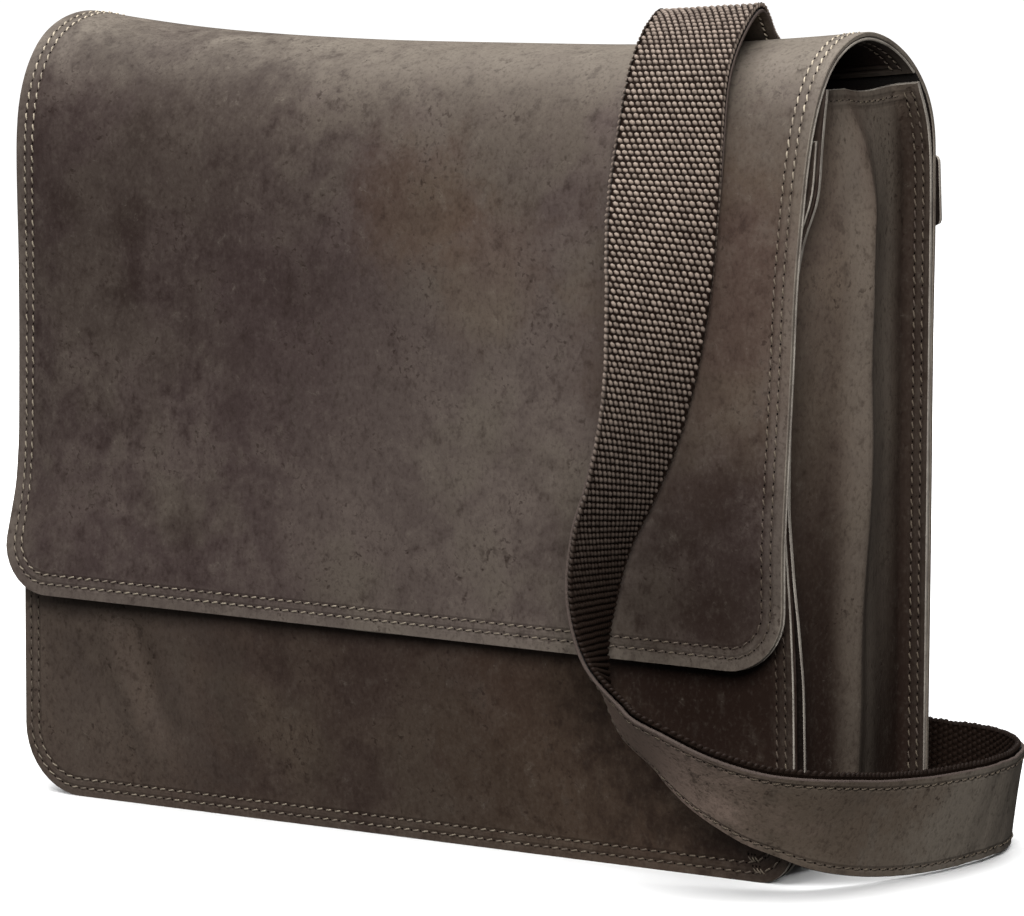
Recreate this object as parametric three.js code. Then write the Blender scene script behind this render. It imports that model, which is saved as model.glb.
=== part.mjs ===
// A flap-over leather messenger bag for a laptop, standing upright, with its shoulder strap
// thrown over the front and round the right side. Millimetres. +X is to the right as seen from
// the front, +Y goes to the back and +Z up. The origin is on the floor, under the bag's middle.

import * as THREE from 'three';

// Driving dimensions
const PANEL_WIDTH = 389;
const FLAP_WIDTH = 390;
const PANEL_TOP = 298;
const WALL_TOP = 318;
const PANEL_CORNER = 30;
const FLAP_CORNER = 24;
const CORNER_STEPS = 4;
const FLANGE_WIDTH = 11.5;
const GAP = 0.3;
const PLY = { flap: 2.0, lining: 1.2, panel: 1.8, wall: 1.6, gusset: 1.6, tab: 1.6 };
const STRAP_PLY = { leather: 1.9, webbing: 2.2 };
const HALF = PANEL_WIDTH / 2;

// How the standing bag gives: the top sinks between its stiff stitched ends, the roll of the
// flap stands further forward on the left, and the front swells over what is inside.
const TOP_DIP = { depth: 9, fromZ: 240, toZ: 335, power: 2.5 };
const ROLL_SKEW = { shift: 4.5, fromZ: 230, toZ: 320, fromY: 30, toY: -40 };
const SWELL = { panel: 6.5, wall: 5.5, middleZ: 112, reachZ: 104, reachX: 181 };

// Outer face of the back, the roll over the top and the flap, from the back's bottom edge
const FLAP_PROFILE = [
  { place: 'bottom of the back', y: 57.3, z: 0 },
  { place: 'lower back', y: 57.3, z: 95 },
  { place: 'middle of the back', y: 57.3, z: 190 },
  { place: 'upper back', y: 57.3, z: 278 },
  { place: 'start of the roll', y: 55.5, z: 300 },
  { place: 'back of the roll', y: 50.5, z: 312 },
  { place: 'rising roll', y: 41.5, z: 322.5 },
  { place: 'behind the crest', y: 29.5, z: 331 },
  { place: 'near the crest', y: 13, z: 337.5 },
  { place: 'crest', y: -5, z: 340 },
  { place: 'past the crest', y: -21.5, z: 337 },
  { place: 'falling roll', y: -34.5, z: 330 },
  { place: 'front of the roll', y: -43.5, z: 320 },
  { place: 'end of the roll', y: -50, z: 307 },
  { place: 'top of the front', y: -54.5, z: 290 },
  { place: 'upper front', y: -58.5, z: 255 },
  { place: 'middle of the front', y: -62, z: 200 },
  { place: 'lower front', y: -66.5, z: 142 },
  { place: 'flap edge', y: -70.5, z: 88.6 },
];
const LINING_START = { y: 40, z: 320 };

// How the hanging flap is turned: how far its right edge stands forward of the middle at each
// height (the left edge as far back), and how far it hangs lower on the right
const FLAP_HANG = [
  { z: 88, turn: -1.5, lower: 1.6 },
  { z: 108, turn: -1.2, lower: 1.3 },
  { z: 136, turn: 2.3, lower: 0.5 },
  { z: 157, turn: 2.5, lower: 0 },
  { z: 209, turn: 1.1, lower: 0 },
  { z: 262, turn: 0, lower: 0 },
];

// The plies of the two side seams at each height: the outer face of the front panel, that of
// the front wall behind it, and the visible face of the gusset's back flange
const SEAM = [
  { z: 0, panel: -55, wall: -52.9, back: 53.4 },
  { z: 235, panel: -54.7, wall: -52.6, back: 53.4 },
  { z: 254, panel: -52.4, wall: -49.6, back: 53.4 },
  { z: 270, panel: -47.8, wall: -43.9, back: 53.4 },
  { z: 284, panel: -46.8, wall: -43.2, back: 53.0 },
  { z: 298, panel: -46.0, wall: -42.6, back: 51.2 },
  { z: 310, panel: -45.0, wall: -41.2, back: 46.3 },
  { z: 318, panel: -44.0, wall: -39.4, back: 40.4 },
];

// The gusset's fold at the sides: how far the ridge lies inside the panel edge (negative is
// outside it), and how far the front flange's cut edge curls back from the front wall
const GUSSET_SIDE = [
  { z: 318, ridge: 8, curl: 0 },
  { z: 306, ridge: 5, curl: 0 },
  { z: 295, ridge: 1, curl: 0 },
  { z: 269, ridge: -2.9, curl: 0 },
  { z: 230, ridge: -4.6, curl: 0 },
  { z: 176, ridge: -2.7, curl: 0 },
  { z: 120, ridge: -0.5, curl: 1 },
  { z: 80, ridge: 1.3, curl: 4.5 },
  { z: 40, ridge: 3, curl: 5 },
  { z: 0, ridge: 2, curl: 2 },
];

// The gusset across its width: depth from the front flange (0) to the back flange (1), how far
// out along the flange, how much of the fold at the sides and of the sag at the bottom, and how
// much lower its top edge lies
const GUSSET_SECTION = [
  { place: 'front cut edge', depth: 0, flange: 1, side: 0, base: 0, drop: 0 },
  { place: 'front flange', depth: 0, flange: 0.5, side: 0, base: 0, drop: 0 },
  { place: 'front fold', depth: 0.004, flange: 0.12, side: 0, base: 0, drop: 0 },
  { place: 'inside the front fold', depth: 0.03, flange: 0, side: 0, base: 0, drop: 0 },
  { place: 'front side', depth: 0.1, flange: 0, side: 0.15, base: 0.5, drop: 0 },
  { place: 'front half', depth: 0.24, flange: 0, side: 0.5, base: 1, drop: 0 },
  { place: 'before the ridge', depth: 0.4, flange: 0, side: 0.88, base: 1, drop: 0 },
  { place: 'front of the ridge', depth: 0.47, flange: 0, side: 1, base: 1, drop: 0 },
  { place: 'back of the ridge', depth: 0.53, flange: 0, side: 0.98, base: 1, drop: 3 },
  { place: 'behind the ridge', depth: 0.62, flange: 0, side: 0.74, base: 1, drop: 5 },
  { place: 'back half', depth: 0.78, flange: 0, side: 0.38, base: 1, drop: 4 },
  { place: 'back side', depth: 0.9, flange: 0, side: 0.12, base: 0.5, drop: 2 },
  { place: 'inside the back fold', depth: 0.97, flange: 0, side: 0, base: 0, drop: 1 },
  { place: 'back fold', depth: 0.996, flange: 0.12, side: 0, base: 0, drop: 1 },
  { place: 'back flange', depth: 1, flange: 0.5, side: 0, base: 0, drop: 0.5 },
  { place: 'back cut edge', depth: 1, flange: 1, side: 0, base: 0, drop: 0 },
];
const GUSSET_DROP_FROM = 295;

// Where the sheets are divided
const COLUMNS = [-1, -0.94, -0.78, -0.55, -0.28, 0, 0.28, 0.55, 0.78, 0.94, 1];
const SIDE_ROWS = [48, 72, 100, 130, 165, 200, 235, 254, 270, 284, 298, 310];
const GUSSET_BASE_COLUMNS = [110, 55, 0, -55, -110];
const FLAP_ROWS = { back: 4, roll: 16, front: 7 };

// Along the flap's profile: where the roll starts, how far before the flap's edge it ends, and
// the shares of the length between which the back's width turns into the flap's
const ROLL = { startsAt: 276, endsBefore: 205 };
const WIDENING = { from: 0.3, to: 0.6 };

// Shoulder strap: the line midway between its two layers, from the right tab to the left one,
// with the direction across it towards the edge that starts on the right
const STRAP = { width: 45, stepsPerRow: 3, trim: 0.4 };
const STRAP_ROUTE = [
  { place: 'right end', x: 101.5, y: 59.75, z: 262, wx: 1, wy: 0, wz: 0 },
  { place: 'right tab', x: 101.5, y: 59.75, z: 276, wx: 1, wy: 0, wz: 0 },
  { place: 'right tab top', x: 101.8, y: 59.85, z: 289, wx: 1, wy: 0, wz: -0.04 },
  { place: 'rise', x: 104.3, y: 57.5, z: 305.5, wx: 0.985, wy: 0.04, wz: -0.16 },
  { place: 'back shoulder', x: 109.5, y: 45.8, z: 320.3, wx: 0.965, wy: 0.19, wz: -0.18 },
  { place: 'behind the crest', x: 116.5, y: 26.5, z: 330.6, wx: 0.955, wy: 0.27, wz: -0.1 },
  { place: 'over the crest', x: 123.3, y: 7, z: 336.2, wx: 0.955, wy: 0.29, wz: 0.02 },
  { place: 'crown', x: 130.5, y: -15, z: 347.3, wx: 0.98, wy: 0.17, wz: 0.08 },
  { place: 'past the crown', x: 134.3, y: -33.5, z: 340.5, wx: 0.99, wy: 0.08, wz: 0.02 },
  { place: 'front shoulder', x: 136.6, y: -49.5, z: 324, wx: 0.99, wy: 0.08, wz: 0 },
  { place: 'drop 1', x: 139, y: -61, z: 294, wx: 0.97, wy: 0.26, wz: -0.01 },
  { place: 'drop 2', x: 143, y: -72.5, z: 266, wx: 0.83, wy: 0.56, wz: -0.05 },
  { place: 'drop 3', x: 146, y: -82, z: 231, wx: 0.57, wy: 0.81, wz: -0.14 },
  { place: 'drop 4', x: 145, y: -86.2, z: 204, wx: 0.38, wy: 0.9, wz: -0.2 },
  { place: 'drop 5', x: 141.5, y: -89, z: 182, wx: 0.24, wy: 0.94, wz: -0.24 },
  { place: 'drop 6', x: 135, y: -91.7, z: 159, wx: 0.08, wy: 0.96, wz: -0.26 },
  { place: 'drop 7', x: 127.5, y: -93.2, z: 139, wx: -0.03, wy: 0.97, wz: -0.26 },
  { place: 'drop 8', x: 124, y: -95, z: 116, wx: -0.13, wy: 0.96, wz: -0.26 },
  { place: 'half turn', x: 128, y: -96.3, z: 89, wx: -0.39, wy: 0.9, wz: -0.19 },
  { place: 'low run 1', x: 141, y: -96.5, z: 68.8, wx: -0.7, wy: 0.68, wz: -0.2 },
  { place: 'low run 2', x: 159, y: -95.5, z: 56.5, wx: -0.68, wy: 0.63, wz: -0.39 },
  { place: 'low run 3', x: 176, y: -91, z: 45.3, wx: -0.59, wy: 0.54, wz: -0.6 },
  { place: 'low run 4', x: 194.5, y: -82, z: 36.5, wx: -0.43, wy: 0.45, wz: -0.78 },
  { place: 'front corner', x: 209.5, y: -69, z: 31.5, wx: -0.31, wy: 0.39, wz: -0.87 },
  { place: 'right side 1', x: 219.5, y: -47.5, z: 26.2, wx: -0.22, wy: 0.33, wz: -0.92 },
  { place: 'right side 2', x: 227.5, y: -22, z: 23.3, wx: -0.17, wy: 0.31, wz: -0.935 },
  { place: 'right side 3', x: 233.5, y: 2, z: 22.6, wx: -0.18, wy: 0.29, wz: -0.94 },
  { place: 'loop 1', x: 237, y: 26, z: 22.8, wx: -0.23, wy: 0.28, wz: -0.93 },
  { place: 'loop 2', x: 235.5, y: 49, z: 23, wx: -0.24, wy: 0.23, wz: -0.94 },
  { place: 'loop 3', x: 227, y: 70, z: 23, wx: -0.2, wy: 0.12, wz: -0.97 },
  { place: 'loop 4', x: 209, y: 86, z: 23.2, wx: -0.1, wy: 0.04, wz: -0.99 },
  { place: 'back corner', x: 183, y: 90, z: 23.4, wx: 0, wy: 0, wz: -1 },
  { place: 'back 1', x: 142, y: 87, z: 26, wx: -0.16, wy: 0, wz: -0.99 },
  { place: 'back 2', x: 95, y: 82, z: 38.5, wx: -0.37, wy: 0, wz: -0.93 },
  { place: 'back 3', x: 45, y: 78, z: 66, wx: -0.57, wy: 0, wz: -0.82 },
  { place: 'back 4', x: 0, y: 76, z: 106, wx: -0.72, wy: 0, wz: -0.69 },
  { place: 'back 5', x: -42, y: 75.5, z: 157, wx: -0.81, wy: 0, wz: -0.59 },
  { place: 'back 6', x: -77, y: 76.5, z: 214, wx: -0.9, wy: 0, wz: -0.44 },
  { place: 'hanging bight', x: -98, y: 79.5, z: 271, wx: -0.98, wy: 0, wz: -0.2 },
  { place: 'behind the bight', x: -101.5, y: 78.8, z: 298, wx: -1, wy: 0, wz: 0 },
  { place: 'top of the bight', x: -101.5, y: 69.5, z: 308.5, wx: -1, wy: 0, wz: 0 },
  { place: 'before the bight', x: -101.5, y: 61.2, z: 300.5, wx: -1, wy: 0, wz: 0 },
  { place: 'left tab top', x: -101.5, y: 59.75, z: 289, wx: -1, wy: 0, wz: 0 },
  { place: 'left tab', x: -101.5, y: 59.75, z: 276, wx: -1, wy: 0, wz: 0 },
  { place: 'left end', x: -101.5, y: 59.75, z: 262, wx: -1, wy: 0, wz: 0 },
];

// Tabs across the back's upper corners that hold the strap's ends: x from the bag's middle
// outwards, and how far the tab's inner face stands off the back panel
const TAB = { low: 258, high: 288, middle: 273 };
const TAB_SECTION = [
  { place: 'inner edge', x: 70, lift: 0.3 },
  { place: 'inner seam', x: 73.5, lift: 0.3 },
  { place: 'over the inner strap edge', x: 78.6, lift: 5.5 },
  { place: 'middle of the strap', x: 101.5, lift: 6 },
  { place: 'over the outer strap edge', x: 124.4, lift: 5.5 },
  { place: 'outer seam', x: 131, lift: 0.3 },
  { place: 'outer edge', x: 197.5, lift: 0.3 },
];

const COLOURS = { leather: 0x4a423b, edge: 0x7d756c, webbing: 0x6d6055 };

const { lerp, smoothstep } = THREE.MathUtils;

// The value in a table's column at a height, straight between rows
function atHeight(table, z, column) {
  const rows = [...table].sort((a, b) => a.z - b.z);
  const above = rows.findIndex((row) => row.z >= z);
  if (above <= 0) return rows.at(above)[column];
  const [low, high] = [rows[above - 1], rows[above]];
  return lerp(low[column], high[column], (z - low.z) / (high.z - low.z));
}

// How far a rounded corner cuts in at a distance from the end of a sheet
function cornerInset(distance, radius) {
  const rest = Math.max(radius - distance, 0);
  return radius - Math.sqrt(radius * radius - rest * rest);
}

// Distances from the end of a sheet that divide its corner into equal angles
function cornerRows(radius) {
  const angles = Array.from({ length: CORNER_STEPS + 1 }, (_, i) => (i / CORNER_STEPS) * (Math.PI / 2));
  return angles.map((angle) => radius * (1 - Math.cos(angle)));
}

// The give of the standing bag, applied alike to every sheet so that the plies stay apart
function settle(point) {
  const across = THREE.MathUtils.clamp(point.x / HALF, -1, 1);
  const dip = TOP_DIP.depth * (1 - Math.abs(across) ** TOP_DIP.power);
  const forward = 1 - smoothstep(point.y, ROLL_SKEW.toY, ROLL_SKEW.fromY);
  const skew = ROLL_SKEW.shift * across * smoothstep(point.z, ROLL_SKEW.fromZ, ROLL_SKEW.toZ) * forward;
  const lowered = point.z - dip * smoothstep(point.z, TOP_DIP.fromZ, TOP_DIP.toZ);
  return new THREE.Vector3(point.x, point.y + skew, lowered);
}

// How far the front stands out over what is inside the bag
function swell(x, z, height) {
  const acrossX = Math.max(1 - (x / SWELL.reachX) ** 2, 0);
  const upZ = Math.max(1 - ((z - SWELL.middleZ) / SWELL.reachZ) ** 2, 0);
  return height * acrossX * upZ;
}

// A sheet's grid of points, moved along its normals
function offset(grid, distance) {
  const rowCount = grid.length;
  const columnCount = grid[0].length;
  return grid.map((row, i) => row.map((point, j) => {
    const along = grid[Math.min(i + 1, rowCount - 1)][j].clone().sub(grid[Math.max(i - 1, 0)][j]);
    const across = row[Math.min(j + 1, columnCount - 1)].clone().sub(row[Math.max(j - 1, 0)]);
    return along.cross(across).normalize().multiplyScalar(distance).add(point);
  }));
}

// A closed sheet between two faces of the same grid
function sheet(face, back) {
  const rowCount = face.length;
  const columnCount = face[0].length;
  const count = rowCount * columnCount;
  const positions = [...face.flat(), ...back.flat()].flatMap((p) => [p.x, p.y, p.z]);
  const indices = [];
  const quad = (a, b, c, d) => indices.push(a, b, c, a, c, d);
  const id = (i, j) => i * columnCount + j;
  for (let i = 0; i < rowCount - 1; i += 1) {
    for (let j = 0; j < columnCount - 1; j += 1) {
      const [a, b, c, d] = [id(i, j), id(i + 1, j), id(i + 1, j + 1), id(i, j + 1)];
      quad(a, b, c, d);
      indices.push(a + count, c + count, b + count, a + count, d + count, c + count);
    }
  }
  const rim = (a, b) => quad(a, a + count, b + count, b);
  for (let i = 0; i < rowCount - 1; i += 1) {
    rim(id(i, 0), id(i + 1, 0));
    rim(id(i + 1, columnCount - 1), id(i, columnCount - 1));
  }
  for (let j = 0; j < columnCount - 1; j += 1) {
    rim(id(0, j + 1), id(0, j));
    rim(id(rowCount - 1, j), id(rowCount - 1, j + 1));
  }
  const geometry = new THREE.BufferGeometry();
  geometry.setAttribute('position', new THREE.Float32BufferAttribute(positions, 3));
  geometry.setIndex(signedVolume(positions, indices) > 0 ? indices : indices.reverse());
  geometry.computeVertexNormals();
  return geometry;
}

// Volume inside a closed mesh, negative where its faces point in
function signedVolume(positions, indices) {
  const corner = (k) => new THREE.Vector3().fromArray(positions, 3 * indices[k]);
  let volume = 0;
  for (let k = 0; k < indices.length; k += 3) {
    volume += corner(k).dot(corner(k + 1).cross(corner(k + 2))) / 6;
  }
  return volume;
}

function settledSheet(face, back) {
  const settleAll = (grid) => grid.map((row) => row.map(settle));
  return sheet(settleAll(face), settleAll(back));
}

// The flap's outer face: rows along its profile, closer together round the roll
function flapGrid() {
  const knots = FLAP_PROFILE.map(({ y, z }) => new THREE.Vector3(0, y, z));
  const curve = new THREE.CatmullRomCurve3(knots, false, 'centripetal');
  const length = curve.getLength();
  const between = (from, to, steps) => (
    Array.from({ length: steps - 1 }, (_, i) => lerp(from, to, (i + 1) / steps))
  );
  const rollEnd = length - ROLL.endsBefore;
  const stations = [
    ...cornerRows(PANEL_CORNER),
    ...between(PANEL_CORNER, ROLL.startsAt, FLAP_ROWS.back),
    ROLL.startsAt,
    ...between(ROLL.startsAt, rollEnd, FLAP_ROWS.roll),
    rollEnd,
    ...between(rollEnd, length - FLAP_CORNER, FLAP_ROWS.front),
    ...cornerRows(FLAP_CORNER).reverse().map((distance) => length - distance),
  ];
  return stations.map((station) => {
    const { y, z } = curve.getPointAt(Math.min(station / length, 1));
    const half = lerp(PANEL_WIDTH, FLAP_WIDTH, smoothstep(station / length, WIDENING.from, WIDENING.to)) / 2;
    const inset = cornerInset(station, PANEL_CORNER) + cornerInset(length - station, FLAP_CORNER);
    const turn = y < 0 ? atHeight(FLAP_HANG, z, 'turn') : 0;
    const lower = y < 0 ? atHeight(FLAP_HANG, z, 'lower') : 0;
    return COLUMNS.map((share) => (
      new THREE.Vector3(share * (half - inset), y - turn * share, z - lower * share)
    ));
  });
}

function backAndFlap() {
  const face = flapGrid();
  return settledSheet(face, offset(face, -PLY.flap));
}

// The second ply under the flap, from the top of the gusset to the flap's edge
function flapLining() {
  const rows = flapGrid();
  const first = rows.findIndex(([{ y, z }]) => z > LINING_START.z && y < LINING_START.y);
  const face = offset(rows, -PLY.flap - GAP).slice(first);
  const back = offset(rows, -PLY.flap - GAP - PLY.lining).slice(first);
  return settledSheet(face, back);
}

// A front sheet with round bottom corners, standing in one of the seam's plies
function frontSheet(ply, top, height, thickness) {
  const rows = [...cornerRows(PANEL_CORNER), ...SIDE_ROWS.filter((z) => z < top), top];
  const face = rows.map((z) => COLUMNS.map((share) => {
    const x = share * (HALF - cornerInset(z, PANEL_CORNER));
    return new THREE.Vector3(x, atHeight(SEAM, z, ply) - swell(x, z, height), z);
  }));
  return settledSheet(face, offset(face, thickness));
}

// Points round the panels' edge, from the top of the right side to the top of the left side,
// with the outward direction and how far each belongs to the bottom
function edgeStations() {
  const inner = HALF - PANEL_CORNER;
  const heights = [...SIDE_ROWS, WALL_TOP].reverse();
  const right = heights.map((z) => ({ x: HALF, z, outX: 1, outZ: 0, base: 0 }));
  const corner = Array.from({ length: CORNER_STEPS + 1 }, (_, i) => {
    const angle = (i / CORNER_STEPS) * (Math.PI / 2);
    const [outX, outZ] = [Math.cos(angle), -Math.sin(angle)];
    const base = smoothstep(i / CORNER_STEPS, 0, 1);
    return { x: inner + PANEL_CORNER * outX, z: PANEL_CORNER * (1 + outZ), outX, outZ, base };
  });
  const half = [...right, ...corner];
  const bottom = GUSSET_BASE_COLUMNS.map((x) => ({ x, z: 0, outX: 0, outZ: -1, base: 1 }));
  const left = half.map((station) => ({ ...station, x: -station.x, outX: -station.outX })).reverse();
  return [...half, ...bottom, ...left];
}

// The gusset's visible face, one row for each point round the edge
function gussetGrid() {
  return edgeStations().map(({ x, z, outX, outZ, base }) => {
    const ridge = lerp(atHeight(GUSSET_SIDE, z, 'ridge'), 0, base);
    const curl = lerp(atHeight(GUSSET_SIDE, z, 'curl'), 0, base);
    const front = atHeight(SEAM, z, 'wall') + PLY.wall + GAP + PLY.gusset;
    const back = atHeight(SEAM, z, 'back');
    const topShare = smoothstep(z, GUSSET_DROP_FROM, WALL_TOP);
    return GUSSET_SECTION.map((row) => {
      const fold = lerp(row.side, row.base, base);
      const inset = FLANGE_WIDTH * (1 - row.flange) + (ridge - FLANGE_WIDTH) * fold;
      const curled = row.depth < 0.5 ? curl * row.flange ** 2 : 0;
      const y = lerp(front, back, row.depth) + curled;
      return new THREE.Vector3(x - outX * inset, y, z - outZ * inset - row.drop * topShare);
    });
  });
}

function gusset() {
  const face = gussetGrid();
  return settledSheet(face, offset(face, -PLY.gusset));
}

// Frames along the strap: its middle, the direction across it and the webbing side's normal
function strapFrames() {
  const through = (columns) => new THREE.CatmullRomCurve3(
    STRAP_ROUTE.map((row) => new THREE.Vector3(...columns.map((column) => row[column]))),
  );
  const middle = through(['x', 'y', 'z']);
  const width = through(['wx', 'wy', 'wz']);
  const count = (STRAP_ROUTE.length - 1) * STRAP.stepsPerRow;
  return Array.from({ length: count + 1 }, (_, i) => {
    const point = middle.getPoint(i / count);
    const along = middle.getTangent(i / count);
    const across = width.getPoint(i / count).projectOnPlane(along).normalize();
    return { point, across, normal: along.clone().cross(across).normalize() };
  });
}

// One layer of the strap, between two heights above its middle on the webbing side
function strapLayer(width, low, high) {
  const face = (height) => strapFrames().map(({ point, across, normal }) => [-1, 1].map((edge) => (
    point.clone().addScaledVector(across, (edge * width) / 2).addScaledVector(normal, height)
  )));
  return sheet(face(high), face(low));
}

// A tab over one of the strap's ends; side is 1 on the right and -1 on the left
function strapTab(side) {
  const backY = FLAP_PROFILE[0].y;
  const rows = [TAB.low, TAB.middle, TAB.high];
  const grid = (extra) => rows.map((z) => TAB_SECTION.map(({ x, lift }) => (
    new THREE.Vector3(side * x, backY + lift + extra, z)
  )));
  return sheet(grid(PLY.tab), grid(0));
}

function piece(name, geometry, color, roughness) {
  const material = new THREE.MeshStandardMaterial({ color, roughness, metalness: 0 });
  const mesh = new THREE.Mesh(geometry, material);
  mesh.name = name;
  return mesh;
}

const bag = new THREE.Group();
bag.add(piece('back_and_flap', backAndFlap(), COLOURS.leather, 0.7));
bag.add(piece('flap_lining', flapLining(), COLOURS.edge, 0.85));
bag.add(piece('front_panel', frontSheet('panel', PANEL_TOP, SWELL.panel, PLY.panel), COLOURS.leather, 0.7));
bag.add(piece('front_wall', frontSheet('wall', WALL_TOP, SWELL.wall, PLY.wall), COLOURS.leather, 0.75));
bag.add(piece('gusset', gusset(), COLOURS.leather, 0.7));

const strap = new THREE.Group();
const leatherTop = -GAP / 2;
const leatherStrip = strapLayer(STRAP.width + STRAP.trim, leatherTop - STRAP_PLY.leather, leatherTop);
const webbingStrip = strapLayer(STRAP.width, GAP / 2, GAP / 2 + STRAP_PLY.webbing);
strap.add(piece('strap_leather', leatherStrip, COLOURS.leather, 0.7));
strap.add(piece('strap_webbing', webbingStrip, COLOURS.webbing, 0.9));
strap.add(piece('strap_tab_right', strapTab(1), COLOURS.leather, 0.7));
strap.add(piece('strap_tab_left', strapTab(-1), COLOURS.leather, 0.7));
bag.add(strap);

export default bag;
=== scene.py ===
"""Looks of a flap-over leather laptop bag with a webbing shoulder strap.

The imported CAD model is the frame. Every piece here stands for one of its nodes, or is the sewing
on one. Tables and surfaces are in millimetres, as in the part's source; meshes are in metres.
"""

import math

import bmesh
import bpy
import numpy as np
from bpy.props import FloatProperty, FloatVectorProperty, PointerProperty
from mathutils import Matrix, Vector


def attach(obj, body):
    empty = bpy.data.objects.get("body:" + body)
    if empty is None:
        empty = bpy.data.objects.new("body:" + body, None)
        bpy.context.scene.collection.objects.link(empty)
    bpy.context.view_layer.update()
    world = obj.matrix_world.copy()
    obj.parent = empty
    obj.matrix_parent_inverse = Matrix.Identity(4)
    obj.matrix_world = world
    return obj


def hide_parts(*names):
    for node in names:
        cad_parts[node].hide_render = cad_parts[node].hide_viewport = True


bl_info = {
    "name": "Leather laptop bag",
    "version": (1, 0, 0),
    "blender": (4, 5, 0),
    "location": "View3D > Sidebar > Bag",
    "description": "Leather, sewing and webbing of a flap-over laptop bag",
    "category": "Add Mesh",
}

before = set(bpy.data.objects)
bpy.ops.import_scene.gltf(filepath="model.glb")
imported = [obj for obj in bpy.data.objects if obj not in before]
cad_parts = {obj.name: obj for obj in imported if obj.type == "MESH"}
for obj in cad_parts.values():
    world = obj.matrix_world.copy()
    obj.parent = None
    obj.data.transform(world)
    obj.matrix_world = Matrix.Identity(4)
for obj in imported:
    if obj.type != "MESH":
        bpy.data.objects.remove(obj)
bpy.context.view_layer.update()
MM = 0.001
SEED = 7


# ---------------------------------------------------------------- tables

def table(columns, *rows):
    """A table's columns by name, each an array with one value for each row."""
    return dict(zip(columns.split(), np.array(rows, float).T))


PANEL_WIDTH = 389
FLAP_WIDTH = 390
PANEL_TOP = 298
WALL_TOP = 318
PANEL_CORNER = 30
TRODDEN_CORNER = 16
FLAP_CORNER = 24
FLANGE_WIDTH = 11.5
GAP = 0.3
PLY = {"flap": 2.0, "lining": 1.2, "wall": 1.6, "gusset": 1.6, "tab": 1.6}
SEEN_PLY = {"panel": 1.25, "wall": 1.15, "gusset": 1.95, "strap": 1.5}
SWELL = {"panel": 6.5, "wall": 5.5, "back": 3.2}
TOP_DIP = 9
TOP_SKEW = 4.5
HEIGHT_EASE = 5
FOLD_EASE = 0.18
TANGENT_STEP = 1.5
FLAP_STEPS = 40
STRAP_STEPS = 24
HALF = PANEL_WIDTH / 2
STRAP_HALF = 21.4
STRAP_FACE = -2.05
STRAP_SEAM = 17.9
WEBBING_ASIDE = 0.8
WEBBING_CORE = (1.25, 0.15)

FLAP_PROFILE = table(
    "y z",
    (57.3, 0), (57.3, 95), (57.3, 190), (57.3, 278), (55.5, 300), (50.5, 312), (41.5, 322.5),
    (29.5, 331), (13, 337.5), (-5, 340), (-21.5, 337), (-34.5, 330), (-43.5, 320), (-50, 307),
    (-54.5, 290), (-58.5, 255), (-62, 200), (-66.5, 142), (-70.5, 88.6))
FLAP_HANG = table(
    "z turn lower curl",
    (88, -1.5, 1.6, 0.5), (108, -1.2, 1.3, 1.5), (136, 2.3, 0.5, 4.2), (157, 2.5, 0, 4.6),
    (209, 1.1, 0, 3.2), (262, 0, 0, 1.4), (300, 0, 0, 0))
SEAM = table(
    "z panel wall back",
    (0, -55, -52.9, 53.4), (235, -54.7, -52.6, 53.4), (254, -52.4, -49.6, 53.4),
    (270, -47.8, -43.9, 53.4), (284, -46.8, -43.2, 53.0), (298, -46.0, -42.6, 51.2),
    (310, -45.0, -41.2, 46.3), (318, -44.0, -39.4, 40.4))
GUSSET_SIDE = table(
    "z ridge curl",
    (0, 2, 2), (40, 3, 5), (80, 1.3, 4.5), (120, -0.5, 1), (176, -2.5, 0), (230, -3.0, 0),
    (269, 0.2, 0), (295, 4.6, 0), (306, 8.5, 0), (318, 11.5, 0))
WAIST = table(
    "z draw",
    (40, 0), (80, 0.9), (108, 2.4), (150, 6), (180, 5.6), (210, 5), (240, 4), (262, 3), (276, 0))
GUSSET_SECTION = table(
    "depth flange side base drop",
    (0, 1, 0, 0, 0), (0, 0.5, 0, 0, 0), (0.004, 0.12, 0, 0, 0), (0.03, 0, 0, 0, 0),
    (0.1, 0, 0.08, 0.5, 0), (0.24, 0, 0.36, 1, 0), (0.4, 0, 0.84, 1, 0), (0.475, 0, 1.12, 1, 0),
    (0.51, 0, 1.0, 1, 0.5), (0.62, 0, 0.5, 1, 1.5), (0.78, 0, 0.14, 1, 1.5),
    (0.9, 0, 0.02, 0.5, 0.7), (0.97, 0, 0, 0, 0.3), (0.996, 0.12, 0, 0, 0.2), (1, 0.5, 0, 0, 0.1),
    (1, 1, 0, 0, 0))
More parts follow.
